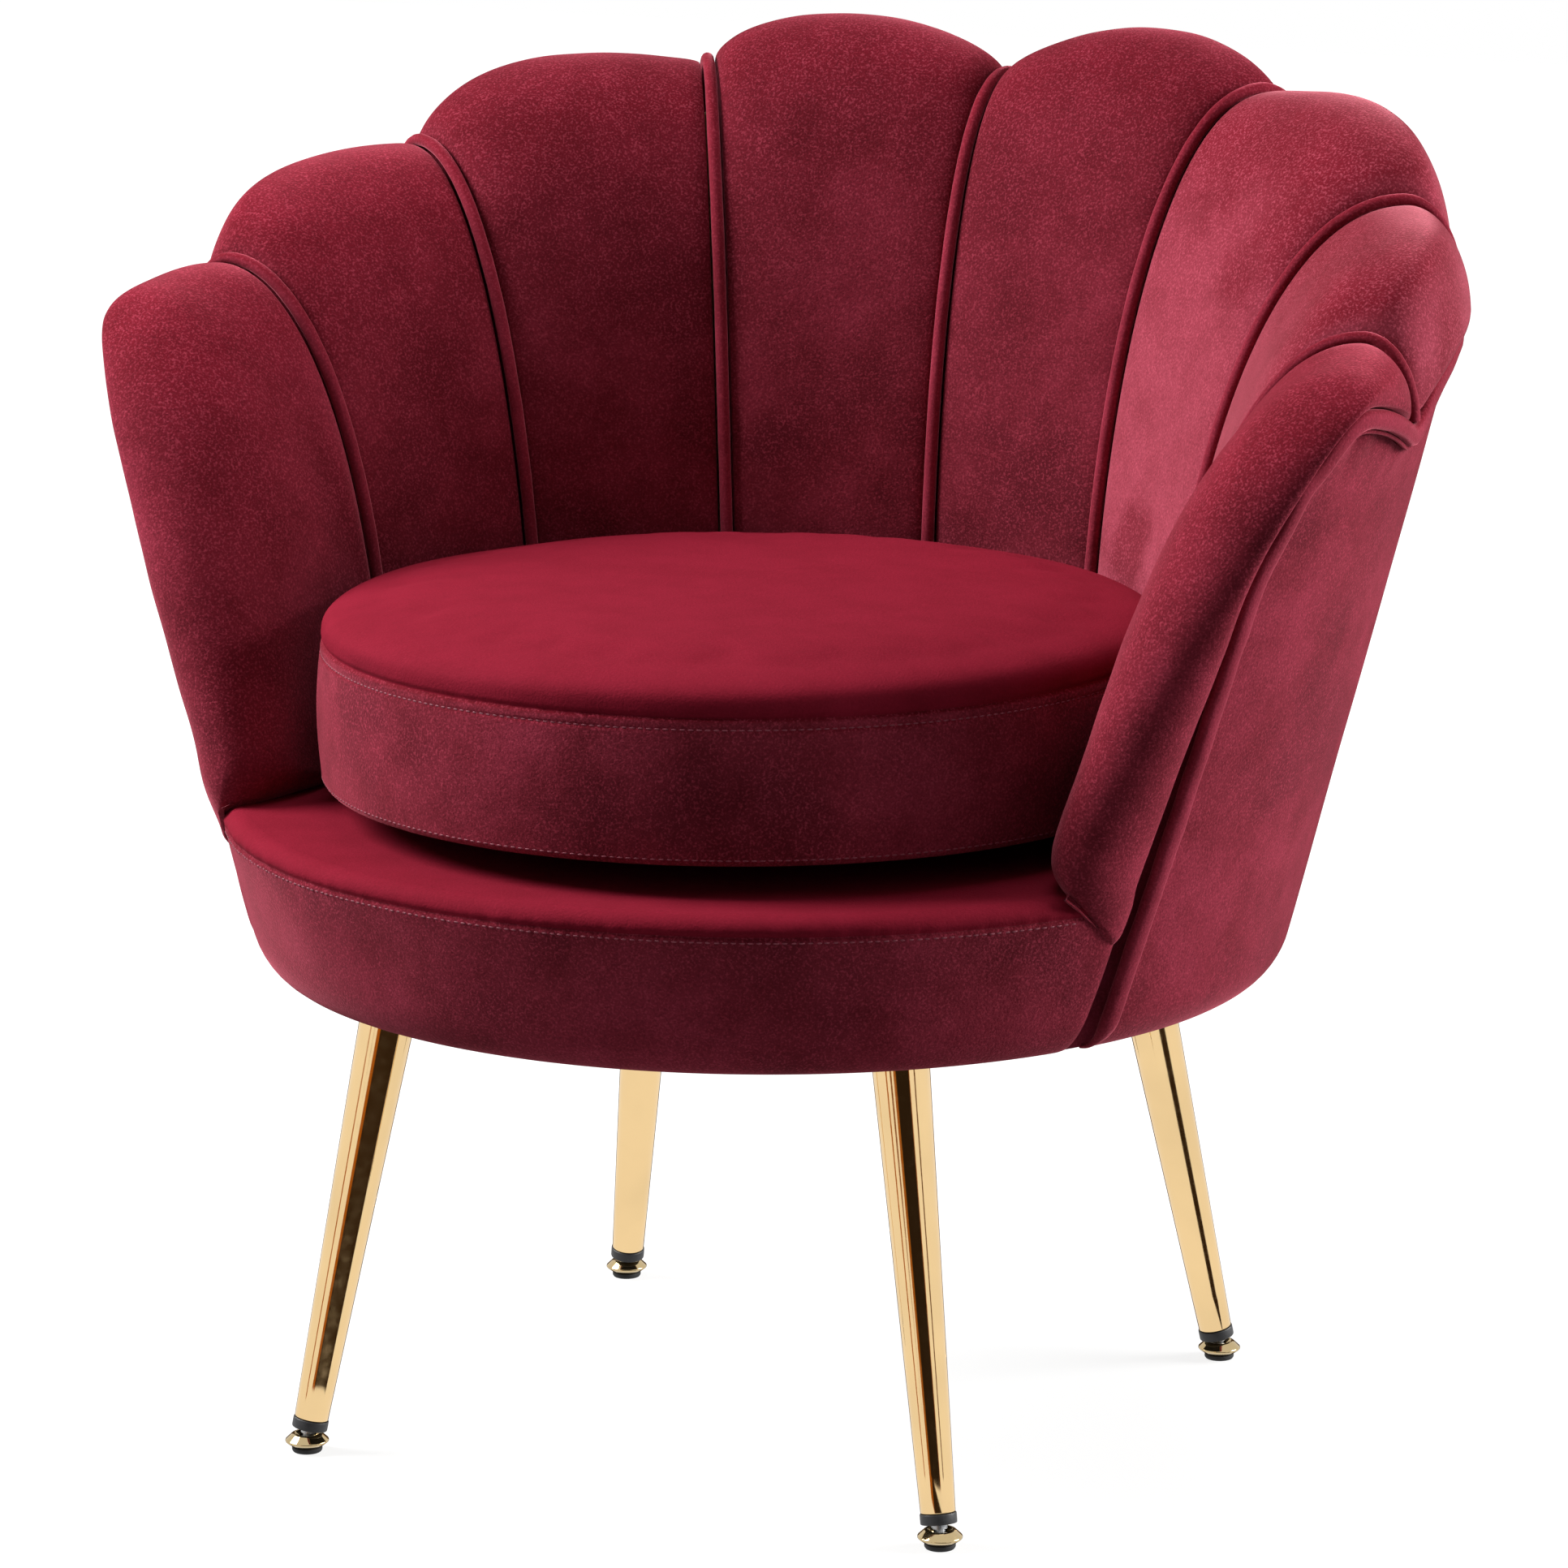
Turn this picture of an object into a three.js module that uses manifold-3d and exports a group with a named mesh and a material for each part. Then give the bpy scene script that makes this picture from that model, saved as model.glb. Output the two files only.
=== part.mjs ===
// A scallop back chair: a drum seat with eight petal pads round it, a loose round cushion
// and four splayed metal legs. Millimetres, +Z up, the chair faces -Y and stands on z = 0.
import * as THREE from "three";
import { mergeVertices } from "three/addons/utils/BufferGeometryUtils.js";
import Module from "manifold-3d";

const wasm = await Module();
wasm.setup();

const { cos, sin, acos, atan2, sqrt, PI } = Math;
const { degToRad, lerp } = THREE.MathUtils;
const vec = (x, y, z) => new THREE.Vector3(x, y, z);

// Driving dimensions of the shell, the chair's outer surface. It is an ellipse at every
// height, given at deck height, and it flares by its shares of the rise.
const deck_height = 369;
const drum_height = 95;
const shell_radius = 319; // at its sides and its front
const back_narrowing = 4; // how much less it is at the back
const side_flare_share = 0.27;
const front_flare_share = 0.25;
const back_flare_share = 0.117;

// Driving dimensions of the petal pads
const back_height = 754; // the notch over the middle piping
const arm_height = 657; // the notch over an arm's piping
const scallop_rise = 29; // a petal's top over the notches beside it
const seam_drop = 46; // from a notch down to the outer seam
const seam_rise = 18; // the outer seam's own scallop
const ridge_inset = 37; // from the shell in to the top of the roll
const pad_thickness = 69; // from the shell in to the inner wall, at a side
const wall_bulge = 5;
const bowl_forward = 39; // the bowl's axis, forward of the drum's
const arm_reach = 129; // the arm's nose, forward of the bowl's axis
const arm_angle = degToRad(83); // of the outermost piping, from the back
const arm_end_angle = degToRad(99.5); // of the arm's inner foot
const seam_overhang = 3;
const petal_overhang = 4; // added at a petal's middle
const arm_overhang = 12; // added over an arm
const roll_wrap = degToRad(125); // how far an arm's roll wraps round to its seam

// Driving dimensions of the upholstery round the shell
const cover_thickness = 14;
const cover_reach_top = 66; // the cover's front edge, forward of the bowl's axis
const cover_reach_bottom = 87;
const channel_width = 17; // the shadow gap between the roll and the cover
const rim_round = 13;
const rim_rise = 22;
const deck_round = 9;
const piping_radius = 3.8;
const welt_radius = 4.3;
const welt_clear = 3.3; // from the pads' seam down to the welt
const cord_sink_share = 0.35; // how deep a cord lies in the surface it follows

// Driving dimensions of the frame
const board_thickness = 12;
const board_lap = 12; // from the seam on to the board's edge
const board_clear = 6; // from there on to the foam that folds over it
const corner_drop = 18; // how much the cover rounds off the arm's front corner
const board_corner_drop = 10;
const base_thickness = 15;
const ring_thickness = 12;
const ring_width = 60;
const web_width = 60;
const web_thickness = 1.6;
const web_spacing = 150;
const deck_cloth = 4;
const deck_foam_thickness = 30.6;
const lining_thickness = 1.2;
const lining_margin = 7;
const block_size = 64;

// Driving dimensions of the loose cushion
const cushion_clear = 10; // from the inner wall in to its side
const cushion_bulge = 3;
const cushion_belly = 19; // from the deck up to the lower seam
const cushion_side_height = 81.5; // between its two seams
const cushion_crown = 27;
const cushion_cloth = 2.5;
const zip_length = 300;
const zip_height = 7;
const zip_thickness = 2;

// Driving dimensions of the legs and the levelling feet
// From the shell's front or back radius in to a leg's middle, at its top and on the floor,
// and the turn there, away from straight ahead or straight behind
const leg_front_inset = 89.9;
const leg_back_inset = 87.7;
const foot_front_inset = 35.1;
const foot_back_inset = 27.2;
const leg_front_turn = degToRad(43.94);
const leg_back_turn = degToRad(44.38);
const foot_front_turn = degToRad(45.36);
const foot_back_turn = degToRad(44.58);
const leg_radius_top = 16.4;
const leg_radius_bottom = 9.8;
const leg_wall = 1.2;
const leg_cap = 3;
const stud_radius = 4;
const stud_length = 32;
const nut_barrel_radius = 6;
const nut_flange_radius = 10;
const nut_flange = 1.6;
const collar_radius = 10.3;
const collar_height = 6;
const collar_bottom = 14; // along the leg, from the floor
const collar_spigot = 18;
const stem_radius = 3.2;
const stem_length = 30;
const neck_radius = 4.6;
const neck_length = 2.6;
const ball_radius = 3.6;
const ball_height = 6.4;
const disc_radius = 12.6;
const disc_bottom = 3.4;
const disc_waist = 6.8;
const disc_top = 11;
const disc_top_radius = 8.6;
const disc_mouth_radius = 7.2;
const pad_radius = 8.8;
const pad_foot_radius = 8;
const pad_round = 1.2;

// Gaps and counts
const gap = 0.3;
const bend_gap = 1; // between bent layers, whose facets differ
const overrun = 40; // how far a cutting solid runs past what it cuts
const petal_steps = 10;
const arm_steps = 14;
const wall_steps = 8;
const roll_steps = 4;
const piping_steps = 18;
const piping_sides = 6;
const rim_steps = 7;
const welt_steps = 76;
const welt_sides = 6;
const front_steps = 5;
const board_steps = 4;
const band_steps = 20;
const round_steps = 42;
const small_steps = 12;
const hole_steps = 10;

// Places that follow from the sizes
const shell_back_radius = shell_radius - back_narrowing;
const wall_radius = shell_radius - pad_thickness; // round the bowl's axis
const cushion_radius = wall_radius - cushion_clear;
const drum_bottom = deck_height - drum_height;
const seam_height = back_height - seam_drop;
const back_flare = back_flare_share * (seam_height - deck_height);
const back_reach = shell_back_radius + back_flare + seam_overhang + petal_overhang;
const front_reach = shell_radius - front_flare_share * deck_round;
const drum_y = (front_reach - back_reach) / 2; // centres the chair on y = 0
const bowl_y = drum_y - bowl_forward;
const board_inset = cover_thickness + bend_gap;
const board_inner_inset = board_inset + board_thickness;
const inside_inset = board_inner_inset + bend_gap + gap;
const frame_bottom = drum_bottom + lining_thickness;
const base_top = frame_bottom + gap + base_thickness;
const deck_under = deck_height - deck_cloth;
const web_top = deck_under - deck_foam_thickness - 2 * gap;
const ring_top = web_top - 2 * (gap + web_thickness);
const ring_bottom = ring_top - ring_thickness;
const petal_foot = deck_height + gap;
const cushion_seam_low = deck_height + cushion_belly;
const cushion_seam_high = cushion_seam_low + cushion_side_height;

// Shares chosen by hand. A piping's angles at its foot and at its notch are shares of
// arm_angle, and its notch lies between arm_height and back_height.
const piping_foot_shares = [0, 0.336, 0.666, 1.005];
const piping_angle_shares = [0, 0.356, 0.69, 1];
const notch_height_shares = [1, 1.03, 0.57, 0];
const petal_rise_shares = [1, 0.78, 0.88];
const petal_lean_shares = [0, 0.7, 0.65]; // how much fuller a petal is on its outer side
const scallop_fullness_share = 1.2;
const crown_fullness = 4;
const back_fullness_share = 0.91; // of the inner wall, in the middle of the back
const arm_fullness_share = 1;
const board_lap_share = 0.45; // of the way from the seam to the ridge, at most
const wrap_start_share = 0.35; // of the arm's end, where the roll is fully wrapped

// The arm's end, from its piping down to the deck. Each row: the inner foot between
// arm_angle and arm_end_angle, then the ridge's reach and height and its inset, then the
// seam's reach and height. Reaches are of arm_reach, heights of the arm over the deck.
const arm_shares = [
  [0.1, -0.157, 1, 0.8, -0.15, 0.872],
  [0.2, 0.05, 0.985, 0.55, 0.11, 0.906],
  [0.3, 0.25, 0.962, 0.36, 0.29, 0.91],
  [0.42, 0.44, 0.9, 0.28, 0.43, 0.868],
  [0.54, 0.61, 0.8, 0.26, 0.555, 0.774],
];
// The nose below them, where the seam follows the cover's front edge
const nose_shares = [
  [0.66, 0.765, 0.645, 0.27, 0.62],
  [0.76, 0.895, 0.455, 0.31, 0.444],
  [0.86, 0.98, 0.267, 0.34, 0.264],
  [0.94, 1.04, 0.108, 0.33, 0.1],
  [1, 1.06, 0, 0.27, 0],
];

function shellSize(z, inset) {
  const rise = z - deck_height;
  return {
    side: shell_radius + side_flare_share * rise - inset,
    front: shell_radius + front_flare_share * rise - inset,
    back: shell_back_radius + back_flare_share * rise - inset,
  };
}

// The shell at a turn about the drum's axis, nothing at the back and PI at the front
function shellPoint(turn, z, inset) {
  const { side, front, back } = shellSize(z, inset);
  const depth = cos(turn) < 0 ? front : back;
  return vec(side * sin(turn), drum_y + depth * cos(turn), z);
}

function shellTurnAtReach(reach, z, inset) {
  const { front, back } = shellSize(z, inset);
  const depth = bowl_y - reach - drum_y;
  return acos(depth / (depth < 0 ? front : back));
}

// Where a ray from the bowl's axis meets the shell
function shellOnRay(angle, z, inset) {
  const { side, front, back } = shellSize(z, inset);
  const meet = (depth) => {
    const across = sin(angle) / side;
    const along = cos(angle) / depth;
    const start = -bowl_forward / depth;
    const square = across * across + along * along;
    const half = start * along;
    const far = (-half + sqrt(half * half - square * (start * start - 1))) / square;
    return vec(far * sin(angle), bowl_y + far * cos(angle), z);
  };
  const behind = meet(back);
  return behind.y < drum_y ? meet(front) : behind;
}

function shellTurnOf(point, inset) {
  const { side, front, back } = shellSize(point.z, inset);
  const depth = point.y - drum_y;
  return atan2(point.x / side, depth / (depth < 0 ? front : back));
}

function coverReach(z) {
  return lerp(cover_reach_bottom, cover_reach_top, (z - drum_bottom) / (arm_height - drum_bottom));
}

const pipings = piping_angle_shares.map((share) => share * arm_angle);
const piping_feet = piping_foot_shares.map((share) => share * arm_angle);
const notches = notch_height_shares.map((share) => lerp(arm_height, back_height, share));
const notch_line = new THREE.SplineCurve([
  ...notches.slice(1).reverse().map((height, i) => new THREE.Vector2(i, height)),
  ...notches.map((height, i) => new THREE.Vector2(i + notches.length - 1, height)),
]);
const armHeightAt = (share) => lerp(petal_foot, arm_height, share);

function unitOut(angle) {
  return vec(sin(angle), cos(angle), 0);
}

// A station of the petal pads: its foot on the deck, its ridge and its outer seam.
// place counts pipings from the middle one, bulge is 0 at a piping and 1 at a petal's
// middle, and shift moves the station sideways, clear of the piping.
function backStation(place, bulge, shift = 0) {
  const petal = Math.min(Math.floor(place), pipings.length - 2);
  const share = place - petal;
  const angle = lerp(pipings[petal], pipings[petal + 1], share);
  const foot_angle = lerp(piping_feet[petal], piping_feet[petal + 1], share);
  const last = notches.length - 1;
  const pitch = shell_radius * (pipings[petal + 1] - pipings[petal]);
  const along = Math.min(place + shift / pitch, last);
  const notch = notch_line.getPoint((along + last) / (2 * last)).y;
  const lean = 1 + petal_lean_shares[petal] * (2 * share - 1);
  const crown = bulge * lean * petal_rise_shares[petal];
  const radius = wall_radius - wall_bulge * bulge;
  const foot = vec(radius * sin(foot_angle), bowl_y + radius * cos(foot_angle), petal_foot);
  const aside = vec(cos(angle), -sin(angle), 0).multiplyScalar(shift);
  const overhang = seam_overhang + petal_overhang * bulge;
  return {
    angle,
    wrap: PI / 2,
    fullness: lerp(back_fullness_share, arm_fullness_share, place / last),
    foot: foot.add(aside),
    ridge: shellOnRay(angle, notch + scallop_rise * crown, ridge_inset).add(aside),
    seam: shellOnRay(angle, notch - seam_drop + seam_rise * crown * bulge, -overhang).add(aside),
  };
}

function armRow([foot_share, reach_share, height_share, inset_share, ...seam_shares]) {
  const angle = lerp(arm_angle, arm_end_angle, foot_share);
  const radius = wall_radius - wall_bulge;
  const z = armHeightAt(height_share);
  const inset = inset_share * ridge_inset;
  const seam_z = armHeightAt(seam_shares[seam_shares.length - 1]);
  const overhang = arm_overhang * seam_shares[seam_shares.length - 1];
  const seam_reach =
    seam_shares.length > 1 ? seam_shares[0] * arm_reach : coverReach(seam_z) + channel_width;
  return {
    angle,
    foot: vec(radius * sin(angle), bowl_y + radius * cos(angle), petal_foot),
    ridge: shellPoint(shellTurnAtReach(reach_share * arm_reach, z, inset), z, inset),
    seam: shellPoint(shellTurnAtReach(seam_reach, seam_z, -overhang), seam_z, -overhang),
  };
}

const arm_start = backStation(pipings.length - 1, 0, piping_radius + bend_gap);
const arm_rows = [arm_start, ...arm_shares.map(armRow), ...nose_shares.map(armRow)];
const armCurve = (part) => new THREE.CatmullRomCurve3(arm_rows.map((row) => row[part]));
const arm_curves = { foot: armCurve("foot"), ridge: armCurve("ridge"), seam: armCurve("seam") };

// How far the roll is wrapped: none at the arm's piping, all at the corner, none at the deck
function wrapAt(share) {
  const start = share / wrap_start_share;
  return start < 1 ? start : (1 - share) / (1 - wrap_start_share);
}

function armStation(share) {
  const foot = arm_curves.foot.getPoint(share);
  return {
    angle: atan2(foot.x, foot.y - bowl_y),
    wrap: lerp(PI / 2, roll_wrap, wrapAt(share)),
    fullness: arm_fullness_share,
    foot,
    ridge: arm_curves.ridge.getPoint(share),
    seam: arm_curves.seam.getPoint(share),
  };
}

// The part of a vector that lies along a unit direction, and the rest of it
function split(vector, direction) {
  const across = direction.clone().multiplyScalar(vector.dot(direction));
  return [across, vector.clone().sub(across)];
}

// The pad's face at a station: a quarter of a full oval up the inner wall to the ridge,
// then an arc over the roll to the outer seam, which on an arm wraps past the upright.
function facePoints({ angle, wrap, fullness, foot, ridge, seam }) {
  const out = unitOut(angle);
  const points = [];
  const [wall_out, wall_up] = split(ridge.clone().sub(foot), out);
  for (let i = 0; i <= wall_steps; i++) {
    const turn = (i / wall_steps) * (PI / 2);
    points.push(
      foot
        .clone()
        .addScaledVector(wall_up, sin(turn) ** fullness)
        .addScaledVector(wall_out, 1 - Math.abs(cos(turn)) ** fullness),
    );
  }
  const [roll_out, roll_down] = split(seam.clone().sub(ridge), out);
  for (let i = 1; i <= roll_steps; i++) {
    const turn = (i / roll_steps) * wrap;
    points.push(
      ridge
        .clone()
        .addScaledVector(roll_out, sin(turn) / sin(wrap))
        .addScaledVector(roll_down, (1 - cos(turn)) / (1 - cos(wrap))),
    );
  }
  return points;
}

// How far the board reaches past the seam on the way to the ridge, and its edge there
function boardLap({ angle, ridge, seam }) {
  const [, rest] = split(ridge.clone().sub(seam), unitOut(angle));
  return Math.min(board_lap, board_lap_share * rest.length());
}

function boardEdge(station, clear) {
  const { angle, ridge, seam } = station;
  const [, rest] = split(ridge.clone().sub(seam), unitOut(angle));
  return seam.clone().addScaledVector(rest.normalize(), boardLap(station) + clear);
}

// The pad's hidden side: up the board's inner face, over its edge and down to the seam
function hiddenPoints(station) {
  const edge = boardEdge(station, board_clear);
  const edge_turn = shellTurnOf(edge, 0);
  const seam_turn = shellTurnOf(station.seam, -seam_overhang);
  const ray = atan2(station.foot.x, station.foot.y - bowl_y);
  const foot = shellOnRay(ray, petal_foot, inside_inset);
  const foot_turn = shellTurnOf(foot, inside_inset);
  const points = [];
  for (let i = 0; i <= wall_steps; i++) {
    const share = i / wall_steps;
    const z = lerp(petal_foot, edge.z, share);
    points.push(shellPoint(lerp(foot_turn, edge_turn, share), z, inside_inset));
  }
  for (let i = 1; i <= roll_steps; i++) {
    const over = Math.min((2 * i) / roll_steps, 1);
    const down = Math.max((2 * i) / roll_steps - 1, 0);
    const turn = lerp(edge_turn, seam_turn, down);
    const inset = lerp(inside_inset, cover_thickness, over);
    points.push(shellPoint(turn, lerp(edge.z, station.seam.z, down), inset));
  }
  return points;
}

// A closed solid between two grids of points of one size. With ring, the rows close up.
function slab(front, back, ring = false) {
  const rows = front.length;
  const columns = front[0].length;
  const position = [front, back].flatMap((grid) => grid.flatMap((row) => row.flatMap((p) => p.toArray())));
  const at = (side, i, j) => side * rows * columns + (i % rows) * columns + j;
  const index = [];
  const quad = (a, b, c, d) => index.push(a, b, c, a, c, d);
  const last = ring ? rows : rows - 1;
  for (let i = 0; i < last; i++) {
    for (let j = 0; j < columns - 1; j++) {
      quad(at(0, i, j), at(0, i + 1, j), at(0, i + 1, j + 1), at(0, i, j + 1));
      quad(at(1, i, j), at(1, i, j + 1), at(1, i + 1, j + 1), at(1, i + 1, j));
    }
    quad(at(0, i, 0), at(1, i, 0), at(1, i + 1, 0), at(0, i + 1, 0));
    const end = columns - 1;
    quad(at(0, i, end), at(0, i + 1, end), at(1, i + 1, end), at(1, i, end));
  }
  for (let j = 0; !ring && j < columns - 1; j++) {
    quad(at(0, 0, j), at(0, 0, j + 1), at(1, 0, j + 1), at(1, 0, j));
    quad(at(0, last, j), at(1, last, j), at(1, last, j + 1), at(0, last, j + 1));
  }
  const geometry = new THREE.BufferGeometry();
  geometry.setAttribute("position", new THREE.Float32BufferAttribute(position, 3));
  geometry.setIndex(index);
  return facingOut(geometry);
}

function facingOut(geometry) {
  const at = geometry.getAttribute("position");
  const index = geometry.getIndex();
  const corners = [vec(0, 0, 0), vec(0, 0, 0), vec(0, 0, 0)];
  let volume = 0;
  for (let i = 0; i < index.count; i += 3) {
    corners.forEach((corner, k) => corner.fromBufferAttribute(at, index.getX(i + k)));
    volume += corners[0].dot(corners[1].clone().cross(corners[2]));
  }
  return volume < 0 ? turned(geometry) : geometry;
}

function turned(geometry) {
  const index = Array.from(geometry.getIndex().array);
  for (let i = 0; i < index.length; i += 3) {
    [index[i + 1], index[i + 2]] = [index[i + 2], index[i + 1]];
  }
  return geometry.clone().setIndex(index);
}

// A geometry with shared vertices and nothing but their positions
function welded(geometry) {
  const bare = geometry.clone();
  bare.deleteAttribute("normal");
  bare.deleteAttribute("uv");
  return mergeVertices(bare, gap / 100);
}

function mirrored(geometry) {
  return turned(welded(geometry).applyMatrix4(new THREE.Matrix4().makeScale(-1, 1, 1)));
}

function solidOf(geometry) {
  const { attributes, index } = welded(geometry);
  const vertProperties = attributes.position.array;
  return new wasm.Manifold(
    new wasm.Mesh({ numProp: 3, vertProperties, triVerts: new Uint32Array(index.array) }),
  );
}

function geometryOf(solid) {
  const { vertProperties, triVerts } = solid.getMesh();
  const geometry = new THREE.BufferGeometry();
  geometry.setAttribute("position", new THREE.Float32BufferAttribute(vertProperties, 3));
  return geometry.setIndex(Array.from(triVerts));
}

const largest = (solid) => solid.decompose().sort((a, b) => b.volume() - a.volume())[0];

function cut(geometry, ...tools) {
  return geometryOf(
    largest(tools.reduce((solid, tool) => solid.subtract(solidOf(tool)), solidOf(geometry))),
  );
}

function joined(geometry, ...others) {
  return geometryOf(others.reduce((solid, other) => solid.add(solidOf(other)), solidOf(geometry)));
}

function circle(radius, steps) {
  const points = [];
  for (let i = 0; i < steps; i++) {
    const turn = (i / steps) * 2 * PI;
    points.push(new THREE.Vector2(radius * cos(turn), radius * sin(turn)));
  }
  return new THREE.Shape(points);
}

function cordAlong(points, radius, steps, sides) {
  return new THREE.ExtrudeGeometry(circle(radius, sides), {
    steps,
    bevelEnabled: false,
    extrudePath: new THREE.CatmullRomCurve3(points),
  });
}

// A turned piece about the Z axis. The profile's points are [radius, height].
function turnedPiece(profile, steps) {
  const points = profile.map(([radius, height]) => new THREE.Vector2(radius, height));
  return facingOut(welded(new THREE.LatheGeometry(points, steps).rotateX(PI / 2)));
}

function plate(outline, bottom, thickness, holes = []) {
  const shape = new THREE.Shape(outline.map((p) => new THREE.Vector2(p.x, p.y)));
  holes.forEach((hole) => shape.holes.push(hole));
  const options = { depth: thickness, bevelEnabled: false, curveSegments: small_steps };
  return new THREE.ExtrudeGeometry(shape, options).translate(0, 0, bottom);
}

function roundHole(x, y, radius) {
  const corners = circle(radius / cos(PI / hole_steps), hole_steps).getPoints();
  return new THREE.Path(corners.map((p) => p.add(new THREE.Vector2(x, y))));
}

const chair = new THREE.Group();
chair.name = "scallop_back_chair";

function add(name, geometry, material) {
  const mesh = new THREE.Mesh(geometry, material);
  mesh.name = name;
  chair.add(mesh);
  return mesh;
}

const finish = (color, roughness, metalness = 0) =>
  new THREE.MeshStandardMaterial({ color, roughness, metalness });
const velvet = finish("#8e1c36", 0.85);
const velvet_cord = finish("#7a162d", 0.85);
const plywood = finish("#c9a878", 0.7);
const foam = finish("#e8dcae", 0.95);
const webbing = finish("#3b3a38", 0.9);
const lining = finish("#1c1b1c", 0.95);
const gold = finish("#d9b26a", 0.18, 1);
const steel = finish("#9b9c9e", 0.35, 1);
const black_plastic = finish("#1d1d1f", 0.5);

// The petal pads and the pipings between them, named from the chair's left arm to its right
function petalStations(petal) {
  if (petal === pipings.length - 1) {
    return Array.from({ length: arm_steps + 1 }, (_, i) => armStation(i / arm_steps));
  }
  return Array.from({ length: petal_steps + 1 }, (_, i) => {
    const turn = (i / petal_steps) * PI;
    const bulge = sin(turn) ** scallop_fullness_share;
    return backStation(petal + (1 - cos(turn)) / 2, bulge, (piping_radius + gap) * cos(turn));
  });
}

function petalPad(petal) {
  const stations = petalStations(petal);
  return slab(stations.map(facePoints), stations.map(hiddenPoints));
}

// A piping follows the notch between two pads, a little proud of their faces
function pipingCord(place) {
  const station = backStation(place, 0);
  const side = vec(0, 0, 1).cross(unitOut(station.angle));
  const points = facePoints(station);
  const path = points.map((point, i) => {
    const before = points[Math.max(i - 1, 0)];
    const after = points[Math.min(i + 1, points.length - 1)];
    const out = after.clone().sub(before).normalize().cross(side);
    return point.clone().addScaledVector(out, piping_radius * (1 - 2 * cord_sink_share));
  });
  path[path.length - 1].z += welt_clear;
  return cordAlong(path, piping_radius, piping_steps, piping_sides);
}

const arm = pipings.length - 1;
pipings.forEach((_, petal) => {
  const pad = petalPad(petal);
  add(`back_petal_${arm + petal + 2}`, pad, velvet);
  add(`back_petal_${arm - petal + 1}`, mirrored(pad), velvet);
});
pipings.forEach((_, place) => {
  const cord = pipingCord(place);
  add(`petal_piping_${arm + place + 1}`, cord, velvet_cord);
  if (place > 0) add(`petal_piping_${arm - place + 1}`, mirrored(cord), velvet_cord);
});

// The rim of a layer round the shell, on the chair's right from the middle of the back to
// the arm's front, its top edge dropped square to the seam. It follows the arm's seam down to
// the corner row, and ends corner under that one, on the layer's front edge ahead of the
// cover's. Each point is [turn as a share of the front edge's, z].
const cover_corner_row = 5;
const board_corner_row = 6;
function rimPoints(dropOf, ahead, corner_row, corner) {
  const stations = [];
  for (let petal = 0; petal < arm; petal++) {
    for (let i = 0; i < rim_steps; i++) {
      const share = i / rim_steps;
      const bulge = (2 * sqrt(share * (1 - share))) ** scallop_fullness_share;
      stations.push(backStation(petal + share, bulge));
    }
  }
  stations.push(...arm_rows.slice(0, corner_row));
  const last = arm_rows[corner_row];
  const seams = [...stations, last].map(({ seam }) => seam);
  const points = stations.map((station, i) => {
    const before = i > 0 ? seams[i - 1] : seams[1].clone().multiply(vec(-1, 1, 1));
    const down = unitOut(station.angle).cross(seams[i + 1].clone().sub(before)).normalize();
    const point = seams[i].clone().addScaledVector(down, dropOf(station));
    const edge = shellTurnAtReach(coverReach(point.z) + ahead, point.z, 0);
    return [shellTurnOf(point, 0) / edge, point.z];
  });
  points.push([1, last.seam.z - dropOf(last) - corner]);
  return points;
}

function wholeRim(half) {
  return [...half.slice(1).reverse().map(([share, z]) => [-share, z]), ...half];
}

// A layer of the shell between two insets, open at the front
function shellLayer(rim, ahead, bottom, insets, steps) {
  const grid = (inset) =>
    rim.map(([share, top]) =>
      Array.from({ length: steps + 1 }, (_, i) => {
        const z = lerp(top, bottom, i / steps);
        return shellPoint(share * shellTurnAtReach(coverReach(z) + ahead, z, 0), z, inset);
      }),
    );
  return slab(grid(insets[0]), grid(insets[1]));
}

// The outside cover: its lower edge is rounded under
const welt_slot = welt_clear + 2 * welt_radius + bend_gap;
const cover_rim = wholeRim(rimPoints(() => welt_slot, 0, cover_corner_row, corner_drop));
function roundedCover() {
  const levels = [0, 0.34, 0.67, 1];
  const tucks = [0.5, 0.8, 1].map((share) => share * (PI / 2));
  const face = cover_rim.map(([share, top]) => {
    const at = (z, inset) => shellPoint(share * shellTurnAtReach(coverReach(z), z, 0), z, inset);
    const rim_top = drum_bottom + rim_rise;
    return [
      ...levels.map((level) => at(lerp(top, rim_top, level), 0)),
      ...tucks.map((turn) => at(rim_top - rim_rise * sin(turn), rim_round * (1 - cos(turn)))),
    ];
  });
  const count = levels.length + tucks.length - 1;
  const hidden = cover_rim.map(([share, top]) =>
    Array.from({ length: count + 1 }, (_, i) => {
      const z = lerp(top, drum_bottom, i / count);
      return shellPoint(share * shellTurnAtReach(coverReach(z), z, 0), z, cover_thickness);
    }),
  );
  return slab(face, hidden);
}
add("outside_cover", roundedCover(), velvet);

// The welt round the cover's edge: under the seam, and down both fronts
function weltCord() {
  const inset = welt_radius * (2 * cord_sink_share - 1);
  const drop = welt_clear + welt_radius;
  const along = rimPoints(() => drop, 0, cover_corner_row, corner_drop)
    .slice(0, -1)
    .map(([share, z]) => shellPoint(share * shellTurnAtReach(coverReach(z), z, 0), z, inset));
  const ahead = welt_radius + gap;
  const top = arm_rows[cover_corner_row].seam.z - drop - corner_drop;
  const front = Array.from({ length: front_steps + 1 }, (_, i) => {
    const z = lerp(top, drum_bottom + rim_rise, i / front_steps);
    return shellPoint(shellTurnAtReach(coverReach(z) + ahead, z, 0), z, inset);
  });
  const half = [...along, ...front];
  const other = half.slice(1).reverse().map((p) => vec(-p.x, p.y, p.z));
  return cordAlong([...other, ...half], welt_radius, welt_steps, welt_sides);
}
add("outside_welt", weltCord(), velvet_cord);

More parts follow.
